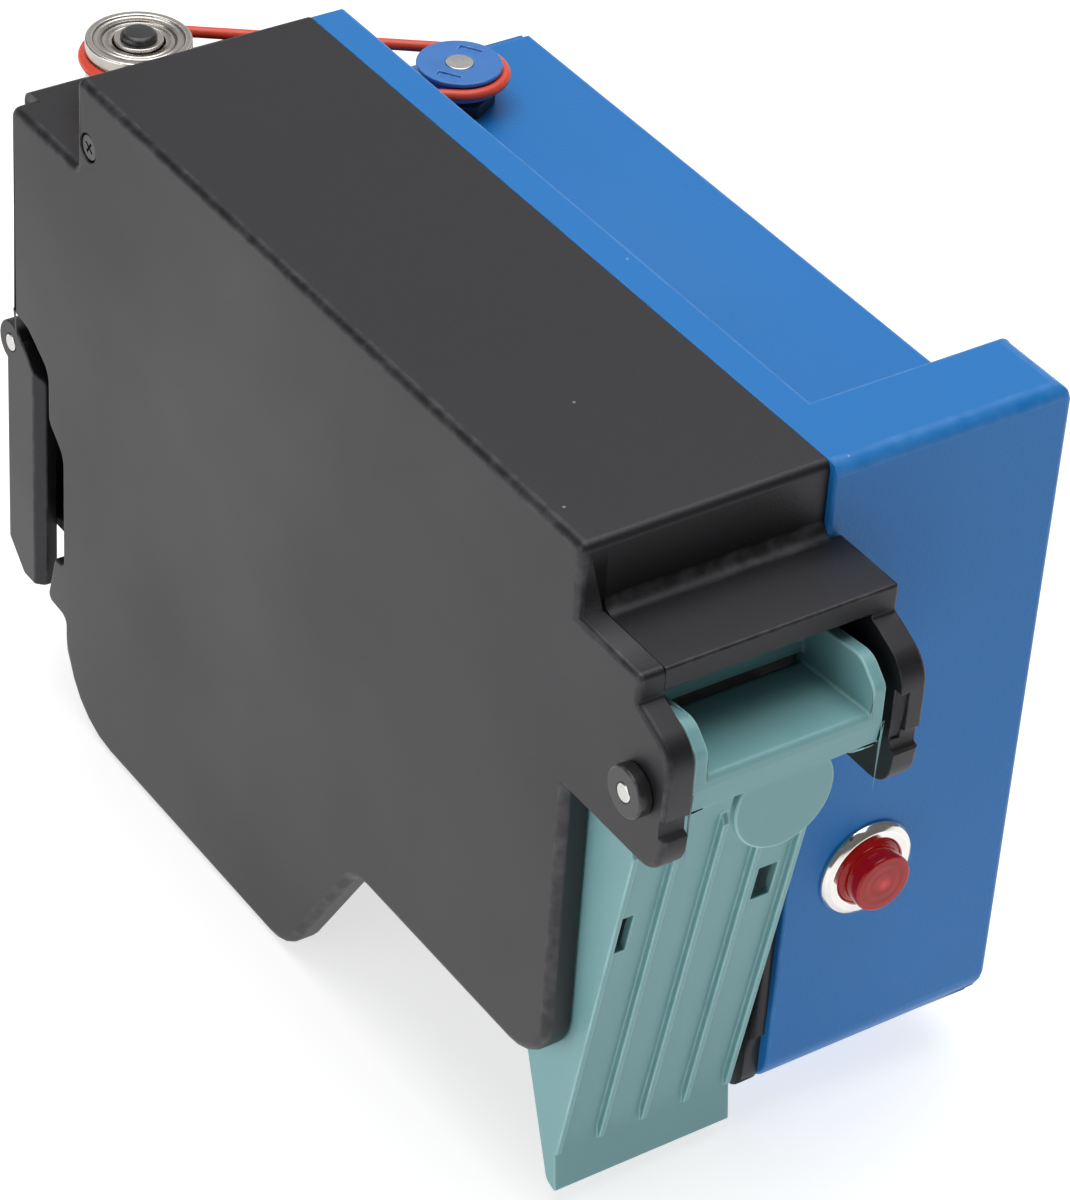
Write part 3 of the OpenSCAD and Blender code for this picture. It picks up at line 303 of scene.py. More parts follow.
# Finishes, each with its skin, edge wear, dust and bump (strength, distance)
skinLooks = {
    "blackShell": {
        "skin": {"Color": (0.0052, 0.0051, 0.0062), "Drift Color": (0.0038, 0.0038, 0.0046),
                 "Drift Scale": 14.0, "Drift Amount": 0.6, "Grain Scale": 3800.0, "Gloss Low": 0.40,
                 "Gloss High": 0.50},
        "edge": {"Edge Color": (0.06, 0.06, 0.063), "Amount": 0.5, "Break Scale": 300.0},
        "dust": {"Dust Color": (0.35, 0.34, 0.33), "Scale": 150.0, "Size": 0.07, "Share": 0.10,
                 "Strength": 0.55},
        "bump": (0.35, 0.00012),
        "shader": {"IOR": 1.5, "Specular Tint": (0.97, 0.95, 1.0, 1)},
    },
    "blackPlastic": {
        "skin": {"Color": (0.018, 0.018, 0.020), "Drift Color": (0.028, 0.028, 0.03),
                 "Drift Scale": 60.0, "Drift Amount": 0.5, "Grain Scale": 3000.0, "Gloss Low": 0.26,
                 "Gloss High": 0.38},
        "edge": {"Edge Color": (0.12, 0.12, 0.12), "Amount": 0.4, "Break Scale": 700.0},
        "dust": {"Dust Color": (0.3, 0.3, 0.3), "Scale": 500.0, "Size": 0.08, "Share": 0.15,
                 "Strength": 0.5},
        "bump": (0.3, 0.0001),
    },
    "bluePaint": {
        "skin": {"Color": (0.012, 0.172, 0.50), "Drift Color": (0.010, 0.160, 0.47),
                 "Drift Scale": 18.0, "Drift Amount": 0.5, "Grain Scale": 1300.0, "Gloss Low": 0.34,
                 "Gloss High": 0.42},
        "edge": {"Edge Color": (0.10, 0.32, 0.70), "Amount": 0.3, "Break Scale": 200.0,
                 "Break Low": 0.3},
        "dust": {"Dust Color": (0.45, 0.6, 0.8), "Scale": 120.0, "Size": 0.05, "Share": 0.10,
                 "Strength": 0.45},
        "bump": (0.28, 0.00022),
        "shader": {"Specular IOR Level": 0.26},
    },
    "bluePlastic": {
        "skin": {"Color": (0.035, 0.17, 0.50), "Drift Color": (0.05, 0.21, 0.56), "Drift Scale": 120.0,
                 "Drift Amount": 0.5, "Grain Scale": 2500.0, "Gloss Low": 0.32, "Gloss High": 0.45},
        "edge": {"Edge Color": (0.12, 0.34, 0.70), "Amount": 0.5, "Break Scale": 800.0},
        "bump": (0.3, 0.0001),
    },
    "tealPlastic": {
        "skin": {"Color": (0.180, 0.375, 0.395), "Drift Color": (0.200, 0.405, 0.42),
                 "Drift Scale": 55.0, "Drift Amount": 0.6, "Grain Scale": 1900.0, "Gloss Low": 0.40,
                 "Gloss High": 0.50},
        "edge": {"Edge Color": (0.42, 0.66, 0.65), "Amount": 0.6, "Break Scale": 150.0,
                 "Break Low": 0.05},
        "dust": {"Dust Color": (0.6, 0.7, 0.7), "Scale": 260.0, "Size": 0.05, "Share": 0.08,
                 "Strength": 0.5},
        "bump": (0.25, 0.00012),
        "shader": {"Subsurface Weight": 0.25, "Subsurface Scale": 0.0016,
                   "Subsurface Radius": (0.5, 1.0, 1.0)},
    },
    "beltRed": {
        "skin": {"Color": (0.74, 0.075, 0.032), "Drift Color": (0.64, 0.055, 0.025),
                 "Drift Scale": 160.0, "Drift Amount": 0.5, "Grain Scale": 2600.0,
                 "Gloss Low": 0.34, "Gloss High": 0.46},
        "edge": {"Edge Color": (0.75, 0.2, 0.12), "Amount": 0.2},
        "dust": {"Dust Color": (0.75, 0.45, 0.4), "Scale": 700.0, "Size": 0.09, "Share": 0.15,
                 "Strength": 0.4},
        "bump": (0.3, 0.0001),
        "shader": {"Subsurface Weight": 0.2, "Subsurface Scale": 0.001,
                   "Subsurface Radius": (1.0, 0.3, 0.2)},
    },
    "rubberGrey": {
        "skin": {"Color": (0.035, 0.035, 0.037), "Drift Color": (0.055, 0.055, 0.055),
                 "Drift Scale": 220.0, "Drift Amount": 0.7, "Grain Scale": 2400.0,
                 "Gloss Low": 0.62, "Gloss High": 0.8},
        "edge": {"Edge Color": (0.12, 0.12, 0.12), "Amount": 0.5},
        "dust": {"Dust Color": (0.3, 0.29, 0.27), "Scale": 900.0, "Size": 0.12, "Share": 0.25,
                 "Strength": 0.4},
        "bump": (0.5, 0.00015),
    },
    "gearWhite": {
        "skin": {"Color": (0.72, 0.70, 0.62), "Drift Color": (0.66, 0.63, 0.54), "Drift Scale": 200.0,
                 "Drift Amount": 0.6, "Grain Scale": 2600.0, "Gloss Low": 0.35, "Gloss High": 0.5},
        "edge": {"Edge Color": (0.85, 0.84, 0.78), "Amount": 0.5},
        "bump": (0.25, 0.0001),
    },
    "ledPlastic": {
        "skin": {"Color": (0.78, 0.42, 0.36), "Drift Color": (0.85, 0.55, 0.48), "Drift Scale": 500.0,
                 "Drift Amount": 0.5, "Grain Scale": 2600.0, "Gloss Low": 0.12, "Gloss High": 0.2},
        "edge": {"Edge Color": (0.9, 0.7, 0.65), "Amount": 0.3},
        "bump": (0.1, 0.0001),
    },
    "connectorWhite": {
        "skin": {"Color": (0.70, 0.68, 0.60), "Drift Color": (0.64, 0.61, 0.52), "Drift Scale": 120.0,
                 "Drift Amount": 0.6, "Grain Scale": 2600.0, "Gloss Low": 0.4, "Gloss High": 0.55},
        "edge": {"Edge Color": (0.85, 0.84, 0.78), "Amount": 0.5},
        "dust": {"Dust Color": (0.4, 0.38, 0.34), "Scale": 500.0, "Size": 0.08, "Share": 0.15,
                 "Strength": 0.4},
        "bump": (0.25, 0.0001),
    },
    "switchBody": {
        "skin": {"Color": (0.62, 0.58, 0.50), "Drift Color": (0.55, 0.51, 0.43), "Drift Scale": 200.0,
                 "Drift Amount": 0.6, "Grain Scale": 2600.0, "Gloss Low": 0.4, "Gloss High": 0.5},
        "edge": {"Edge Color": (0.8, 0.77, 0.7), "Amount": 0.5},
        "bump": (0.25, 0.0001),
    },
}
metalLooks = {
    "steel": {
        "metal": {"Color": (0.60, 0.59, 0.575), "Stain Color": (0.50, 0.485, 0.465),
                  "Stretch": (1, 1, 1), "Scale": 900.0, "Gloss Low": 0.22, "Gloss High": 0.36},
        "edge": {"Edge Color": (0.85, 0.84, 0.82), "Amount": 0.6, "Break Scale": 900.0,
                 "Break Low": 0.2},
        "bump": (0.15, 0.00006),
    },
    "bearingSteel": {
        "metal": {"Color": (0.50, 0.465, 0.43), "Stain Color": (0.40, 0.37, 0.34), "Stretch": (1, 1, 6),
                  "Scale": 700.0, "Gloss Low": 0.20, "Gloss High": 0.34},
        "edge": {"Edge Color": (0.9, 0.88, 0.85), "Amount": 0.6, "Break Scale": 900.0,
                 "Break Low": 0.2},
        "bump": (0.12, 0.00005),
    },
    "chrome": {
        "metal": {"Color": (0.80, 0.775, 0.74), "Stain Color": (0.72, 0.68, 0.63), "Stretch": (6, 1, 1),
                  "Scale": 400.0, "Gloss Low": 0.07, "Gloss High": 0.16},
        "edge": {"Edge Color": (0.95, 0.93, 0.9), "Amount": 0.5, "Break Scale": 900.0,
                 "Break Low": 0.2},
        "bump": (0.06, 0.00004),
    },
    "brass": {
        "metal": {"Color": (0.62, 0.44, 0.17), "Stain Color": (0.46, 0.31, 0.12), "Stretch": (1, 10, 1),
                  "Scale": 500.0, "Gloss Low": 0.24, "Gloss High": 0.4},
        "edge": {"Edge Color": (0.85, 0.68, 0.36), "Amount": 0.6, "Break Scale": 900.0,
                 "Break Low": 0.2},
        "bump": (0.15, 0.00006),
    },
    "guideSheet": {
        "metal": {"Color": (0.36, 0.37, 0.385), "Stain Color": (0.30, 0.305, 0.315),
                  "Stretch": (12, 1, 1), "Scale": 300.0, "Gloss Low": 0.3, "Gloss High": 0.45},
        "edge": {"Edge Color": (0.7, 0.7, 0.7), "Amount": 0.7, "Break Scale": 600.0, "Break Low": 0.2},
        "bump": (0.2, 0.00006),
    },
    "motorCan": {
        "metal": {"Color": (0.50, 0.50, 0.50), "Stain Color": (0.42, 0.415, 0.40), "Stretch": (1, 1, 8),
                  "Scale": 420.0, "Gloss Low": 0.26, "Gloss High": 0.4},
        "edge": {"Edge Color": (0.8, 0.8, 0.8), "Amount": 0.6, "Break Scale": 700.0, "Break Low": 0.2},
        "bump": (0.18, 0.00006),
    },
}
materials = {name: makeSkinMaterial(name, look) for name, look in skinLooks.items()}
materials.update({name: makeMetalMaterial(name, look) for name, look in metalLooks.items()})


# Rings about an axis: the distance from it, as waves and as a plain radius in metres
def makeRingGroup():
    tree, given, out = newGroup("turnedRings", [
        ("Center", "Vector", (0, 0, 0)), ("Keep", "Vector", (1, 1, 0)), ("Pitch", "Float", 0.001),
    ], [("Wave", "Float"), ("Radius", "Float")])
    fromAxis = {0: objectCoordinates(tree), 1: given.outputs["Center"]}
    offset = shaderNode(tree, "ShaderNodeVectorMath", fromAxis, operation="SUBTRACT")
    across = {0: offset.outputs[0], 1: given.outputs["Keep"]}
    flat = shaderNode(tree, "ShaderNodeVectorMath", across, operation="MULTIPLY")
    reach = shaderNode(tree, "ShaderNodeVectorMath", {0: flat.outputs[0]}, operation="LENGTH")
    radius = reach.outputs["Value"]
    turns = maths(tree, "DIVIDE", radius, given.outputs["Pitch"])
    wave = maths(tree, "SINE", maths(tree, "MULTIPLY", turns, 2 * math.pi))
    tree.links.new(wave, out.inputs["Wave"])
    tree.links.new(radius, out.inputs["Radius"])
    return tree


def middleOf(node):
    low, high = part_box(node)
    return (low + high) / 2


ringGroup = makeRingGroup()
lensAxis = middleOf("button_lens")
wheelAxis = middleOf("idler_wheel")

# Clear red lens: tinted, with moulded rings drawn as darker bands of painted shade, and a painted glow
# where the lamp sits behind it: a bright spot in the colour and a faint emission
lensLook = {
    "skin": {"Color": (0.60, 0.004, 0.005), "Drift Color": (0.42, 0.002, 0.003), "Drift Scale": 240.0,
             "Drift Amount": 0.7, "Grain Scale": 1800.0, "Gloss Low": 0.05, "Gloss High": 0.11},
    "shader": {"Transmission Weight": 0.45, "IOR": 1.49, "Specular IOR Level": 0.3,
               "Emission Strength": 0.10},
    "ringPitch": 0.0021, "ringShadeShare": 0.4, "ringShadeColor": (0.30, 0.001, 0.002),
    "spotInner": 0.0004, "spotOuter": 0.0016, "glowSpotColor": (0.95, 0.06, 0.05),
    "bump": (0.12, 0.0002),
}


def makeLensMaterial(look):
    material, tree, principled = newMaterial("redLens", look["shader"])
    skin = useGroup(tree, skinGroup, look["skin"])
    rings = useGroup(tree, ringGroup, {"Center": lensAxis, "Keep": (0, 1, 1), "Pitch": look["ringPitch"]})
    # painted glow: a bright spot in the middle of the lens
    spot = ramp(tree, rings.outputs["Radius"], look["spotInner"], look["spotOuter"], 1.0, 0.0)
    # painted shade: darker bands on the moulded rings
    ringShadeShare = ramp(tree, rings.outputs["Wave"], -1.0, 1.0, 0.0, look["ringShadeShare"])
    banded = mixed(tree, ringShadeShare, skin.outputs["Color"], look["ringShadeColor"])
    lit = mixed(tree, spot, banded, look["glowSpotColor"])
    tree.links.new(lit, principled.inputs["Base Color"])
    # painted glow: the same colour, bright spot included, also glows faintly
    tree.links.new(lit, principled.inputs["Emission Color"])
    tree.links.new(skin.outputs["Roughness"], principled.inputs["Roughness"])
    addBump(tree, principled, rings.outputs["Wave"], *look["bump"])
    return material


# Bearing shields: turned steel with rings pressed about the axle; the thin dark lines in the colour are
# painted shade of the pressed rings
shieldLook = {
    "metal": {"Color": (0.52, 0.485, 0.45), "Stain Color": (0.42, 0.39, 0.36), "Stretch": (1, 1, 6),
              "Scale": 700.0, "Gloss Low": 0.20, "Gloss High": 0.34},
    "ringPitch": 0.00155, "ringFrom": 0.55, "ringTo": 0.95, "ringShadeShare": 0.55,
    "ringShadeColor": (0.16, 0.145, 0.13),
    "bump": (0.5, 0.00025),
}


def makeShieldMaterial(look):
    material, tree, principled = newMaterial("shieldSteel", {"Metallic": 1.0})
    metal = useGroup(tree, metalGroup, look["metal"])
    rings = useGroup(tree, ringGroup, {"Center": wheelAxis, "Keep": (1, 1, 0), "Pitch": look["ringPitch"]})
    # painted shade: thin dark lines where the pressed rings are
    dark = ramp(tree, rings.outputs["Wave"], look["ringFrom"], look["ringTo"], 0.0, look["ringShadeShare"])
    color = mixed(tree, dark, metal.outputs["Color"], look["ringShadeColor"])
    tree.links.new(color, principled.inputs["Base Color"])
    tree.links.new(metal.outputs["Roughness"], principled.inputs["Roughness"])
    addBump(tree, principled, rings.outputs["Wave"], *look["bump"])
    return material


# Circuit board: solder mask over tracks, with bare pads
boardLook = {
    "shader": {"Coat Weight": 0.3, "Coat Roughness": 0.2},
    "tracks": {"Color1": (0.012, 0.10, 0.035, 1), "Color2": (0.018, 0.14, 0.05, 1),
               "Mortar": (0.03, 0.22, 0.08, 1), "Scale": 260.0, "Mortar Size": 0.06,
               "Brick Width": 1.4, "Row Height": 0.5},
    "padScale": 420.0, "padStray": 0.15, "padSize": 0.16, "padColor": (0.62, 0.60, 0.55),
    "edge": {"Edge Color": (0.55, 0.5, 0.3), "Amount": 0.5},
    "glossLow": 0.38, "glossHigh": 0.3, "bump": (0.3, 0.00008),
}


def makeBoardMaterial(look):
    material, tree, principled = newMaterial("boardGreen", look["shader"])
    place = objectCoordinates(tree)
    upright = (math.radians(90), 0, 0)
    turned = shaderNode(tree, "ShaderNodeMapping", {"Vector": place, "Rotation": upright})
    tracks = shaderNode(tree, "ShaderNodeTexBrick", {"Vector": turned.outputs[0], **look["tracks"]})
    pads = shaderNode(tree, "ShaderNodeTexVoronoi", {
        "Vector": place, "Scale": look["padScale"], "Randomness": look["padStray"]})
    bare = maths(tree, "LESS_THAN", pads.outputs["Distance"], look["padSize"])
    color = mixed(tree, bare, tracks.outputs["Color"], look["padColor"])
    worn = useGroup(tree, edgeGroup, {"Color": color, **look["edge"]})
    tree.links.new(worn.outputs["Color"], principled.inputs["Base Color"])
    gloss = ramp(tree, tracks.outputs["Fac"], 0, 1, look["glossLow"], look["glossHigh"])
    tree.links.new(gloss, principled.inputs["Roughness"])
    tree.links.new(bare, principled.inputs["Metallic"])
    addBump(tree, principled, tracks.outputs["Fac"], *look["bump"])
    return material


materials["redLens"] = makeLensMaterial(lensLook)
materials["shieldSteel"] = makeShieldMaterial(shieldLook)
materials["boardGreen"] = makeBoardMaterial(boardLook)
print("materials built:", len(materials))


def link(name, mesh):
    piece = bpy.data.objects.new(name, mesh)
    bpy.context.scene.collection.objects.link(piece)
    return piece


def applyModifiers(piece):
    bpy.context.view_layer.update()
    evaluated = piece.evaluated_get(bpy.context.evaluated_depsgraph_get())
    done = bpy.data.meshes.new_from_object(evaluated)
    piece.modifiers.clear()
    piece.data = done
    return piece


# A part's node with its doubles merged and its flats joined into single faces
cleaning = {"merge": 2e-6, "shortest": 1e-6, "flatWithin": math.radians(0.5)}


def cleanCopy(node):
    bm = bmesh.new()
    bm.from_mesh(nodes[node].data)
    bmesh.ops.remove_doubles(bm, verts=bm.verts, dist=cleaning["merge"])
    bmesh.ops.dissolve_degenerate(bm, edges=bm.edges, dist=cleaning["shortest"])
    bmesh.ops.dissolve_limit(bm, angle_limit=cleaning["flatWithin"], verts=bm.verts, edges=bm.edges,
                             use_dissolve_boundaries=False)
    return bm


# Keeps which faces are rounded edges in an attribute, for the worn edges of the finishes
def markRounded(piece, flag):
    mesh = piece.data
    attribute = mesh.attributes.new("softEdge", "FLOAT", "FACE")
    values = [1.0 if p.material_index == flag else 0.0 for p in mesh.polygons]
    attribute.data.foreach_set("value", values)
    for p in mesh.polygons:
        p.material_index = 0


def shadeByAngle(piece, angle=32, weighted=True):
    mesh = piece.data
    mesh.polygons.foreach_set("use_smooth", [True] * len(mesh.polygons))
    mesh.set_sharp_from_angle(angle=math.radians(angle))
    if weighted:
        normals = piece.modifiers.new("flat faces lead", "WEIGHTED_NORMAL")
        normals.keep_sharp = True
        applyModifiers(piece)
    return piece


def dress(piece, material):
    piece.data.materials.clear()
    piece.data.materials.append(materials[material])
    return piece


def seat(piece, node, material):
    dress(piece, material)
    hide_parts(node)
    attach(piece, bodyOf[node])


# Fills the outer flat of a rounded copy anew, so that its holes are cut cleanly
def refill(piece, height, within=0.002):
    bm = bmesh.new()
    bm.from_mesh(piece.data)
    inPlane = {v for v in bm.verts if abs(local(v.co).y - height) < within}
    flats = [f for f in bm.faces if all(v in inPlane for v in f.verts)]
    bmesh.ops.delete(bm, geom=flats, context="FACES")
    rim = [e for e in bm.edges if len(e.link_faces) == 1 and all(v in inPlane for v in e.verts)]
    made = bmesh.ops.triangle_fill(bm, use_beauty=True, use_dissolve=False, edges=rim, normal=(0, -1, 0))
    for f in made["geom"]:
        if isinstance(f, bmesh.types.BMFace):
            f.normal_update()
            if f.normal.y > 0:
                f.normal_flip()
    bm.to_mesh(piece.data)
    bm.free()


# A copy of a part's node with rounded edges. The radius in mm is a number, or a function of an edge's ends
# and of whether the edge is hollow. Edges turned less than the given angle stay as they are.
def roundedCopy(node, name, radiusAt, segments=3, leastAngle=25, flat=None):
    bm = cleanCopy(node)
    layer = bm.edges.layers.float.new("bevel_weight_edge")
    wanted = {}
    for e in bm.edges:
        if len(e.link_faces) != 2 or e.calc_face_angle(0) < math.radians(leastAngle):
            continue
        a, b = (local(v.co) for v in e.verts)
        radius = radiusAt(a, b, e.calc_face_angle_signed(0) < 0) if callable(radiusAt) else radiusAt
        if radius > 0:
            wanted[e] = radius
    widest = max(wanted.values(), default=0)
    for e, radius in wanted.items():
        e[layer] = radius / widest
    mesh = bpy.data.meshes.new(name)
    bm.to_mesh(mesh)
    bm.free()
    piece = link(name, mesh)
    mesh.materials.append(None)
    mesh.materials.append(None)
    if widest:
        bevel = piece.modifiers.new("rounded", "BEVEL")
        bevel.limit_method = "WEIGHT"
        bevel.width = widest / 1000
        bevel.segments = segments
        bevel.use_clamp_overlap = False
        bevel.material = 1
        bevel.miter_outer = "MITER_SHARP"
        bevel.loop_slide = False
        applyModifiers(piece)
    if flat is not None:
        refill(piece, flat)
    markRounded(piece, 1)
    return shadeByAngle(piece, 60 if widest else 32)


# Whether both ends of an edge lie at one measure along an axis
def near(a, b, axis, value, by=0.06):
    return abs(a[axis] - value) < by and abs(b[axis] - value) < by


def inNotch(a, b):
    middle = (a + b) / 2
    return middle.x > shell["notchFront"] and shell["notchLow"] < middle.z < shell["notchHigh"]


# Whether a point lies within reach of a spot, seen along the axis that isn't named
def around(middle, first, second, spot, reach):
    return (middle[first] - spot[0]) ** 2 + (middle[second] - spot[1]) ** 2 < reach ** 2


# Edge radii and places of the side cover, in mm
coverLook = {
    "outer": 1.9, "ear": 1.3, "notch": 0.25, "pocket": 0.8, "hole": 0.3, "inner": 0.2,
    "pinSpot": (22, -39.6), "pinReach": 3, "screwSpot": (-181.4, -14.4), "screwReach": 4,
    "pocketRear": -185, "pocketTop": -72, "pocketLow": -152,
}


def coverRadius(a, b, hollow):
    look = coverLook
    middle = (a + b) / 2
    if near(a, b, 1, 0.0):
        if around(middle, 0, 2, look["pinSpot"], look["pinReach"]):
            return look["hole"]
        if around(middle, 0, 2, look["screwSpot"], look["screwReach"]):
            return look["hole"]
        if inNotch(a, b):
            return look["notch"]
        if middle.x > shell["earStart"]:
            return look["ear"]
        if middle.x < look["pocketRear"] and look["pocketLow"] < middle.z < look["pocketTop"]:
            return look["pocket"]
        return look["outer"]
    if middle.x > shell["earStart"] and near(a, b, 1, shell["coverInside"]):
        return look["inner"]
    return 0


seat(roundedCopy("side_cover", "sideCover", coverRadius, 5, flat=0.0), "side_cover", "blackShell")

# Edge radii and places of the main housing, in mm
housingLook = {
    "ledgeFoot": 3.0, "ledge": 0.7, "ear": 0.8, "notch": 0.25, "small": 0.2,
    "earInner": 7, "rearTop": -22,
}


def housingRadius(a, b, hollow):
    look = housingLook
    middle = (a + b) / 2
    if hollow:
        return look["ledgeFoot"] if near(a, b, 0, 0.0) and near(a, b, 2, shell["ledgeTop"]) else 0
    if middle.x > shell["earStart"] and middle.z > shell["earLow"]:
        if near(a, b, 1, shell["earOutside"]):
            return look["notch"] if inNotch(a, b) else look["ear"]
        if near(a, b, 2, shell["ledgeTop"]) and near(a, b, 0, shell["ledgeFront"]):
            return look["ledge"]
        return look["notch"] if middle.y > look["earInner"] else 0
    if near(a, b, 1, shell["blackWidth"]) and middle.z > look["rearTop"]:
        return look["small"]
    return 0


seat(roundedCopy("main_housing", "mainHousing", housingRadius, 4), "main_housing", "blackShell")
print("black body done")

# Edge radii and places of the blue carrier, in mm
carrierLook = {
    "front": 1.6, "corner": 4.0, "top": 3.0, "deck": 1.4, "strip": 1.2, "left": 0.7, "small": 0.3,
    "footTop": -147.5, "footRear": -6.4, "footSide": 103, "buttonSpot": (74.5, -104), "buttonReach": 10,
}


def carrierRadius(a, b, hollow):
    look = carrierLook
    middle = (a + b) / 2
    atFront = near(a, b, 0, shell["panelFront"])
    atLeft = near(a, b, 1, shell["blackWidth"])
    atRight = near(a, b, 1, shell["width"])
    atDeckFront = near(a, b, 0, shell["deckFront"])
    if hollow:
        return 0
    if middle.z < look["footTop"] and middle.x > look["footRear"] and not atFront:
        if atLeft:
            return look["left"]
        return look["front"] if middle.y > look["footSide"] else 0
    if atFront:
        if around(middle, 1, 2, look["buttonSpot"], look["buttonReach"]):
            return look["small"]
        if atLeft:
            return look["left"]
        return look["top"] if near(a, b, 2, 0.0) else look["front"]
    if near(a, b, 2, 0.0):
        if atRight:
            return look["corner"]
        return look["strip"] if atDeckFront or near(a, b, 1, shell["stripWidth"]) else look["small"]
    if near(a, b, 2, shell["deckTop"]) and (atRight or near(a, b, 0, shell["rear"])):
        return look["deck"]
    return look["strip"] if atDeckFront and atRight else 0


seat(roundedCopy("blue_carrier", "blueCarrier", carrierRadius, 5), "blue_carrier", "bluePaint")
print("blue carrier done")

# Plain rounded copies: node, piece, material, slot, radius in mm
copies = [
    ("latch_lever", "latchLever", "blackShell", "black_shell", 0.45),
    ("latch_pin", "latchPin", "steel", "steel", 0.3),
    ("rear_plate", "rearPlate", "bluePaint", "blue_paint", 0.3),
    ("hinge_pin", "hingePin", "steel", "steel", 0.35),
    ("pin_collars", "pinCollars", "blackPlastic", "black_plastic", 0.5),
    ("intake_throat", "intakeThroat", "tealPlastic", "teal_plastic", 0.45),
    ("return_chute", "returnChute", "tealPlastic", "teal_plastic", 0.3),
    ("button_bezel", "buttonBezel", "chrome", "chrome", 0.15),
    ("button_lens", "buttonLens", "redLens", "red_lens", 0.3),
    ("button_barrel", "buttonBarrel", "blackPlastic", "black_plastic", 0.2),
    ("button_nut", "buttonNut", "steel", "steel", 0.25),
    ("button_switch", "buttonSwitch", "switchBody", "connector_white", 0.2),
    ("button_led", "buttonLed", "ledPlastic", "led_plastic", 0.1),
    ("idler_stud", "idlerStud", "steel", "steel", 0.3),
    ("idler_nut", "idlerNut", "steel", "steel", 0.3),
    ("idler_spacer", "idlerSpacer", "brass", "brass", 0.2),
    ("idler_inner_ring", "idlerInnerRing", "bearingSteel", "chrome", 0.3),
    ("idler_cage", "idlerCage", "brass", "brass", 0),
    ("idler_wheel", "idlerWheel", "bearingSteel", "chrome", 0.45),
    ("idler_shields", "idlerShields", "shieldSteel", "chrome", 0.12),
    ("idler_cap", "idlerCap", "blackPlastic", "black_plastic", 0.35),
    ("drive_pulley", "drivePulley", "bluePlastic", "blue_plastic", 0.3),
    ("drive_shaft", "driveShaft", "steel", "steel", 0.3),
    ("drive_gearbox", "driveGearbox", "motorCan", "motor_can", 0.5),
    # painted shade: the gearbox nut gets the black plastic finish so that it stays as dark as the shadow
    # beneath the pulley
    ("gearbox_nut", "gearboxNut", "blackPlastic", "black_plastic", 0.3),
    ("drive_motor", "driveMotor", "motorCan", "motor_can", 0.6),
    ("frame_plate_left", "framePlateLeft", "steel", "steel", 0.15),
    ("frame_plate_right", "framePlateRight", "steel", "steel", 0.15),
    ("frame_spacers", "frameSpacers", "brass", "brass", 0.2),
    ("feed_bushes", "feedBushes", "brass", "brass", 0.15),
    ("feed_shaft_front", "feedShaftFront", "steel", "steel", 0.3),
    ("feed_shaft_rear", "feedShaftRear", "steel", "steel", 0.3),
    ("feed_rollers_front", "feedRollersFront", "rubberGrey", "rubber_grey", 0.4),
    ("feed_rollers_rear", "feedRollersRear", "rubberGrey", "rubber_grey", 0.4),
    ("pinch_shafts", "pinchShafts", "steel", "steel", 0.25),
    ("pinch_rollers_front", "pinchRollersFront", "rubberGrey", "rubber_grey", 0.4),
    ("pinch_rollers_rear", "pinchRollersRear", "rubberGrey", "rubber_grey", 0.4),
    ("sync_pulley_front", "syncPulleyFront", "steel", "steel", 0.2),
    ("sync_pulley_rear", "syncPulleyRear", "steel", "steel", 0.2),
    ("sync_belt", "syncBelt", "rubberGrey", "rubber_grey", 0.15),
    ("feed_gear", "feedGear", "gearWhite", "gear_white", 0),
    ("feed_pinion", "feedPinion", "brass", "brass", 0),
    ("feed_motor", "feedMotor", "motorCan", "motor_can", 0.4),
    ("guide_lower", "guideLower", "guideSheet", "guide_sheet", 0.15),
    ("guide_upper", "guideUpper", "guideSheet", "guide_sheet", 0.15),
    ("read_head", "readHead", "blackPlastic", "black_plastic", 0.4),
    ("control_board", "controlBoard", "boardGreen", "board_green", 0.1),
    ("board_chips", "boardChips", "blackPlastic", "black_plastic", 0.15),
    ("board_standoffs", "boardStandoffs", "brass", "brass", 0.15),
    ("io_connector", "ioConnector", "connectorWhite", "connector_white", 0.3),
]
for node, name, material, slot, radius in copies:
    seat(roundedCopy(node, name, radius), node, material)
print("rounded copies done:", len(copies))


# Geometry node trees: inputs are Geometry plus the ones listed, and each ends real and with its finish
def newGeometryTree(name, inputs):
    tree = bpy.data.node_groups.new(name, "GeometryNodeTree")
    tree.interface.new_socket("Geometry", in_out="INPUT", socket_type="NodeSocketGeometry")
    for label, kind, value in [*inputs, ("Finish", "Material", None)]:
        socket = tree.interface.new_socket(label, in_out="INPUT", socket_type="NodeSocket" + kind)
        if value is not None:
            socket.default_value = value
    tree.interface.new_socket("Geometry", in_out="OUTPUT", socket_type="NodeSocketGeometry")
    return tree, tree.nodes.new("NodeGroupInput").outputs


def endTree(tree, given, geometry):
    real = shaderNode(tree, "GeometryNodeRealizeInstances", {"Geometry": geometry})
    finished = shaderNode(tree, "GeometryNodeSetMaterial", {
        "Geometry": real.outputs[0], "Material": given["Finish"]})
    tree.links.new(finished.outputs[0], tree.nodes.new("NodeGroupOutput").inputs[0])
    return tree


# A round section swept along a path
def makeSweepTree():
    tree, given = newGeometryTree("roundSweep", [("Radius", "Float", 0.001), ("Sides", "Int", 24)])
    path = shaderNode(tree, "GeometryNodeMeshToCurve", {"Mesh": given["Geometry"]})
    section = shaderNode(tree, "GeometryNodeCurvePrimitiveCircle", {
        "Resolution": given["Sides"], "Radius": given["Radius"]})
    solid = shaderNode(tree, "GeometryNodeCurveToMesh", {
        "Curve": path.outputs[0], "Profile Curve": section.outputs[0], "Fill Caps": True})
    smooth = shaderNode(tree, "GeometryNodeSetShadeSmooth", {"Geometry": solid.outputs[0]})
    return endTree(tree, given, smooth.outputs[0])


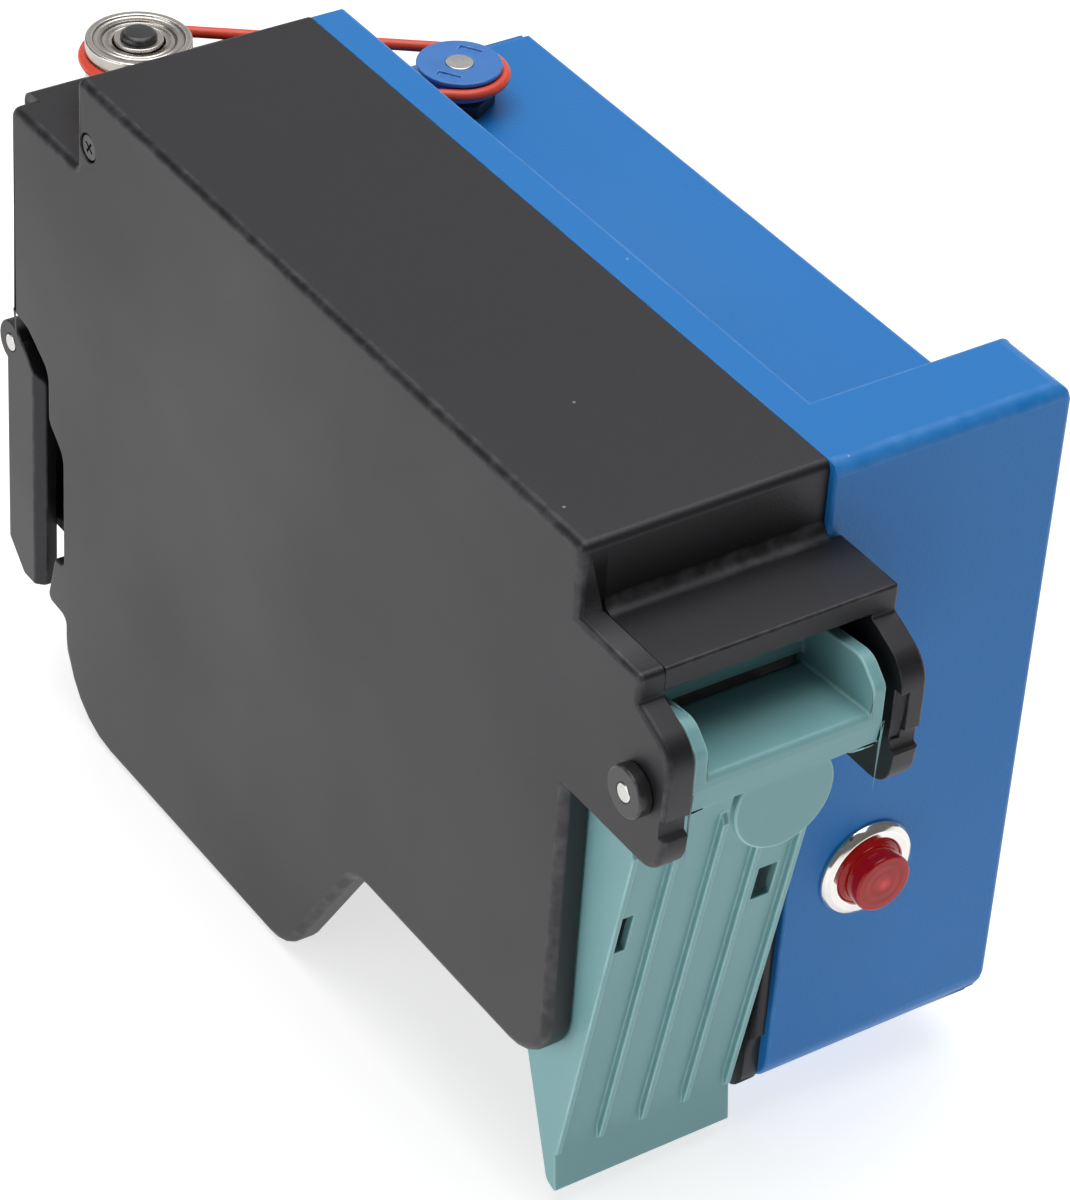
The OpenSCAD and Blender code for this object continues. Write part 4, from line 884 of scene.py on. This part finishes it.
# One item on every point, each turned at random up to the given angles
def makeScatterTree():
    tree, given = newGeometryTree("itemsOnPoints", [
        ("Item", "Object", None), ("Turn", "Vector", (0, 0, 0)), ("Seed", "Int", 7)])
    item = shaderNode(tree, "GeometryNodeObjectInfo", {"Object": given["Item"]})
    points = shaderNode(tree, "GeometryNodeMeshToPoints", {"Mesh": given["Geometry"]})
    turn = shaderNode(tree, "FunctionNodeRandomValue", data_type="FLOAT_VECTOR")
    turn.inputs[0].default_value = (0, 0, 0)
    tree.links.new(given["Turn"], turn.inputs[1])
    tree.links.new(given["Seed"], turn.inputs["Seed"])
    placed = shaderNode(tree, "GeometryNodeInstanceOnPoints", {
        "Points": points.outputs[0], "Instance": item.outputs["Geometry"], "Rotation": turn.outputs[0]})
    return endTree(tree, given, placed.outputs[0])


sweepTree = makeSweepTree()
scatterTree = makeScatterTree()


# A plain mesh grown by a tree from points and edges
def grow(name, verts, edges, tree, values, material):
    mesh = bpy.data.meshes.new(name)
    mesh.from_pydata(verts, edges, [])
    piece = link(name, mesh)
    grown = piece.modifiers.new("grown", "NODES")
    grown.node_group = tree
    for socket in tree.interface.items_tree:
        if socket.in_out == "INPUT" and socket.name in values:
            grown[socket.identifier] = values[socket.name]
        elif socket.in_out == "INPUT" and socket.name == "Finish":
            grown[socket.identifier] = materials[material]
    return applyModifiers(piece)


def chain(count, closed=False):
    return [(i, (i + 1) % count) for i in range(count if closed else count - 1)]


# The closed path of a belt around two wheels
def beltPath(first, firstRadius, second, secondRadius, steps):
    run = second - first
    lean = math.asin((firstRadius - secondRadius) / run.length)
    heading = math.atan2(run.y, run.x)
    verts = []
    for center, radius, start, sweep in (
            (first, firstRadius, heading + math.pi / 2 - lean, math.pi + 2 * lean),
            (second, secondRadius, heading - math.pi / 2 + lean, math.pi - 2 * lean)):
        for i in range(steps + 1):
            angle = start + sweep * i / steps
            verts.append(center + radius * Vector((math.cos(angle), math.sin(angle), 0)))
    return verts


# Radii in mm to the middle of the belt's cord, and of the cord itself
beltLook = {"wheelRadius": 11.6, "pulleyRadius": 9.8, "cord": 1.25, "steps": 56, "sides": 28}
pulleyAxis = middleOf("drive_pulley")
pulleyAxis.z = wheelAxis.z
beltVerts = beltPath(wheelAxis, beltLook["wheelRadius"] / 1000, pulleyAxis, beltLook["pulleyRadius"] / 1000,
                     beltLook["steps"])
beltSection = {"Radius": beltLook["cord"] / 1000, "Sides": beltLook["sides"]}
roundBelt = grow("roundBelt", beltVerts, chain(len(beltVerts), True), sweepTree, beltSection, "beltRed")
seat(roundBelt, "round_belt", "beltRed")

# Coil springs fill the boxes of the part's closed coils: node, piece, axis, wire radius in mm
springs = [("throat_spring", "throatSpring", 1, None), ("button_spring", "buttonSpring", 0, 0.5)]
springLook = {"stepsPerTurn": 28, "sides": 12, "wireShare": 0.86, "turnsWithoutWire": 3}
for node, name, axis, wire in springs:
    low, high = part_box(node)
    length = (high - low)[axis]
    wire = wire / 1000 if wire else length / (2 * springLook["turnsWithoutWire"])
    side, otherSide = (i for i in range(3) if i != axis)
    coil = (high - low)[side] / 2 - wire
    turns = length / (2 * wire) - 1
    count = int(turns * springLook["stepsPerTurn"])
    verts = []
    for i in range(count + 1):
        angle = 2 * math.pi * turns * i / count
        v = (low + high) / 2
        v[axis] = low[axis] + wire + (length - 2 * wire) * i / count
        v[side] += coil * math.cos(angle)
        v[otherSide] += coil * math.sin(angle)
        verts.append(v)
    wireSection = {"Radius": wire * springLook["wireShare"], "Sides": springLook["sides"]}
    spring = grow(name, verts, chain(len(verts)), sweepTree, wireSection, "steel")
    seat(spring, node, "steel")
print("belt and springs done")


# Things that repeat: one item, made about the origin, set on every point
def makeItem(build):
    bm = bmesh.new()
    build(bm)
    mesh = bpy.data.meshes.new("item")
    bm.to_mesh(mesh)
    bm.free()
    return link("item", mesh)


def drum(bm, radius, x0, x1, sides=32):
    made = bmesh.ops.create_cone(bm, cap_ends=True, segments=sides, radius1=radius, radius2=radius,
                                 depth=(x1 - x0))
    turned = Matrix.Translation(((x0 + x1) / 2, 0, 0)) @ Matrix.Rotation(math.pi / 2, 4, "Y")
    bmesh.ops.transform(bm, matrix=turned, verts=made["verts"])


def block(bm, length, width, height, x=0):
    place = Matrix.Translation((x, 0, 0)) @ Matrix.Diagonal((length, width, height, 1))
    bmesh.ops.create_cube(bm, matrix=place)


# A pan head screw along +X with a cross recess; its head is at negative X
def makeScrew(look):
    def crossBars(bm):
        for width, height in ((look["slot"], look["cross"]), (look["cross"], look["slot"])):
            block(bm, 2 * look["recess"], width, height, -look["head"])

    cross = makeItem(crossBars)
    item = makeItem(lambda bm: drum(bm, look["radius"], -look["head"], 0))
    rounded = item.modifiers.new("rounded", "BEVEL")
    rounded.width = look["round"]
    rounded.segments = 3
    rounded.limit_method = "ANGLE"
    cut = item.modifiers.new("cross", "BOOLEAN")
    cut.operation = "DIFFERENCE"
    cut.object = cross
    cut.solver = "EXACT"
    cut.use_self = True
    applyModifiers(item)
    bpy.data.objects.remove(cross)
    bm = bmesh.new()
    bm.from_mesh(item.data)
    drum(bm, look["shank"], look["shankGap"], look["length"], 20)
    bm.to_mesh(item.data)
    bm.free()
    return item


def scatter(name, points, item, turn, material):
    piece = grow(name, points, [], scatterTree, {"Item": item, "Turn": turn, "Seed": 7}, material)
    bpy.data.objects.remove(item)
    return piece


plateScrewLook = {
    "radius": 0.0028, "head": 0.0018, "recess": 0.0009, "slot": 0.0007, "cross": 0.0032, "round": 0.0006,
    "shank": 0.00125, "shankGap": 0.00001, "length": 0.0095,
}
low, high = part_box("rear_plate_screws")
reach = plateScrewLook["radius"]
spots = [Vector((low.x + plateScrewLook["head"], y, z)) for y in (low.y + reach, high.y - reach)
         for z in (low.z + reach, high.z - reach)]
plateScrews = scatter("rearPlateScrews", spots, makeScrew(plateScrewLook), (math.pi, 0, 0), "steel")
seat(shadeByAngle(plateScrews), "rear_plate_screws", "steel")

coverScrewLook = {
    "head": 0.0009, "recess": 0.0006, "slot": 0.00062, "cross": 0.0032, "round": 0.0003,
    "shank": 0.00125, "shankGap": 0.00001, "turn": math.radians(35),
}
low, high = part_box("cover_screw")
head = coverScrewLook["head"]
item = makeScrew({"radius": (high.x - low.x) / 2, "length": (high - low).y - head, **coverScrewLook})
facing = Matrix.Rotation(coverScrewLook["turn"], 4, "Y") @ Matrix.Rotation(math.pi / 2, 4, "Z")
item.data.transform(facing)
spot = Vector(((low.x + high.x) / 2, low.y + head, (low.z + high.z) / 2))
coverScrew = scatter("coverScrew", [spot], item, (0, 0, 0), "blackPlastic")
seat(shadeByAngle(coverScrew), "cover_screw", "blackPlastic")

ballLook = {"count": 8, "ring": 0.0071, "radius": 0.0021, "around": 28, "rings": 16, "turn": (3, 3, 3)}
spots = [wheelAxis + ballLook["ring"] * Vector((math.cos(a), math.sin(a), 0))
         for a in (2 * math.pi * i / ballLook["count"] for i in range(ballLook["count"]))]
item = makeItem(lambda bm: bmesh.ops.create_uvsphere(
    bm, u_segments=ballLook["around"], v_segments=ballLook["rings"], radius=ballLook["radius"]))
balls = scatter("idlerBalls", spots, item, ballLook["turn"], "chrome")
seat(shadeByAngle(balls, 60, False), "idler_balls", "chrome")

# Contacts inside the connector's shell, in two columns
pinLook = {"rows": 7, "pitch": 0.0031, "column": 0.0034, "thick": 0.0008, "length": 0.0065, "sunk": 0.005}
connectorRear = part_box("io_connector")[1].x
middle = middleOf("io_connector")
pinX = connectorRear - pinLook["sunk"] - pinLook["length"] / 2
spots = [Vector((pinX, middle.y + column * pinLook["column"], middle.z + row * pinLook["pitch"]))
         for column in (-1, 1) for row in range(-(pinLook["rows"] // 2), pinLook["rows"] // 2 + 1)]
item = makeItem(lambda bm: block(bm, pinLook["length"], pinLook["thick"], pinLook["thick"]))
contacts = scatter("connectorPins", spots, item, (0, 0, 0), "brass")
dress(shadeByAngle(contacts), "brass")
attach(contacts, bodyOf["io_connector"])
print("repeated pieces done")

studio = {
    "floorSize": 12.0, "floorDrop": 0.0005, "world": 0.16,
    "floor": {"Roughness": 0.85, "Emission Color": (1, 1, 1, 1), "Emission Strength": 0.70},
    "light": (0.52, 0.52, 0.52), "dark": (0.50, 0.50, 0.50), "patches": 6.0,
}
half = studio["floorSize"] / 2
floorZ = cadBox[0][2] - studio["floorDrop"]
corners = [(-half, -half, floorZ), (half, -half, floorZ), (half, half, floorZ), (-half, half, floorZ)]
floorMesh = bpy.data.meshes.new("floor")
floorMesh.from_pydata(corners, [], [(0, 1, 2, 3)])
floor = link("floor", floorMesh)
floorMaterial, floorTree, floorShader = newMaterial("paleFloor", studio["floor"])
patches = shaderNode(floorTree, "ShaderNodeTexNoise", {
    "Vector": objectCoordinates(floorTree), "Scale": studio["patches"]})
floorColor = mixed(floorTree, patches.outputs[0], studio["light"], studio["dark"])
floorTree.links.new(floorColor, floorShader.inputs["Base Color"])
floorMesh.materials.append(floorMaterial)

lamps = {
    "rearBox": {"from": (-0.98, 0.74, 1.02), "size": 2.1, "power": 6.2},
    "overhead": {"from": (-0.1, 0.05, 1.5), "size": 1.5, "power": 23.0},
    "leftFill": {"from": (0.0, -1.5, 0.35), "size": 1.2, "power": 9.0},
}
for name, lamp in lamps.items():
    data = bpy.data.lights.new(name, "AREA")
    data.shape = "SQUARE"
    data.size = lamp["size"]
    data.energy = lamp["power"]
    light = bpy.data.objects.new(name, data)
    light.location = lamp["from"]
    light.rotation_euler = (-Vector(lamp["from"])).to_track_quat("-Z", "Y").to_euler()
    bpy.context.scene.collection.objects.link(light)
world = bpy.data.worlds.new("studio")
world.use_nodes = True
background = world.node_tree.nodes["Background"]
background.inputs["Color"].default_value = (1, 1, 1, 1)
background.inputs["Strength"].default_value = studio["world"]
bpy.context.scene.world = world
bpy.context.scene.view_settings.view_transform = "Standard"
print("floor and light done")
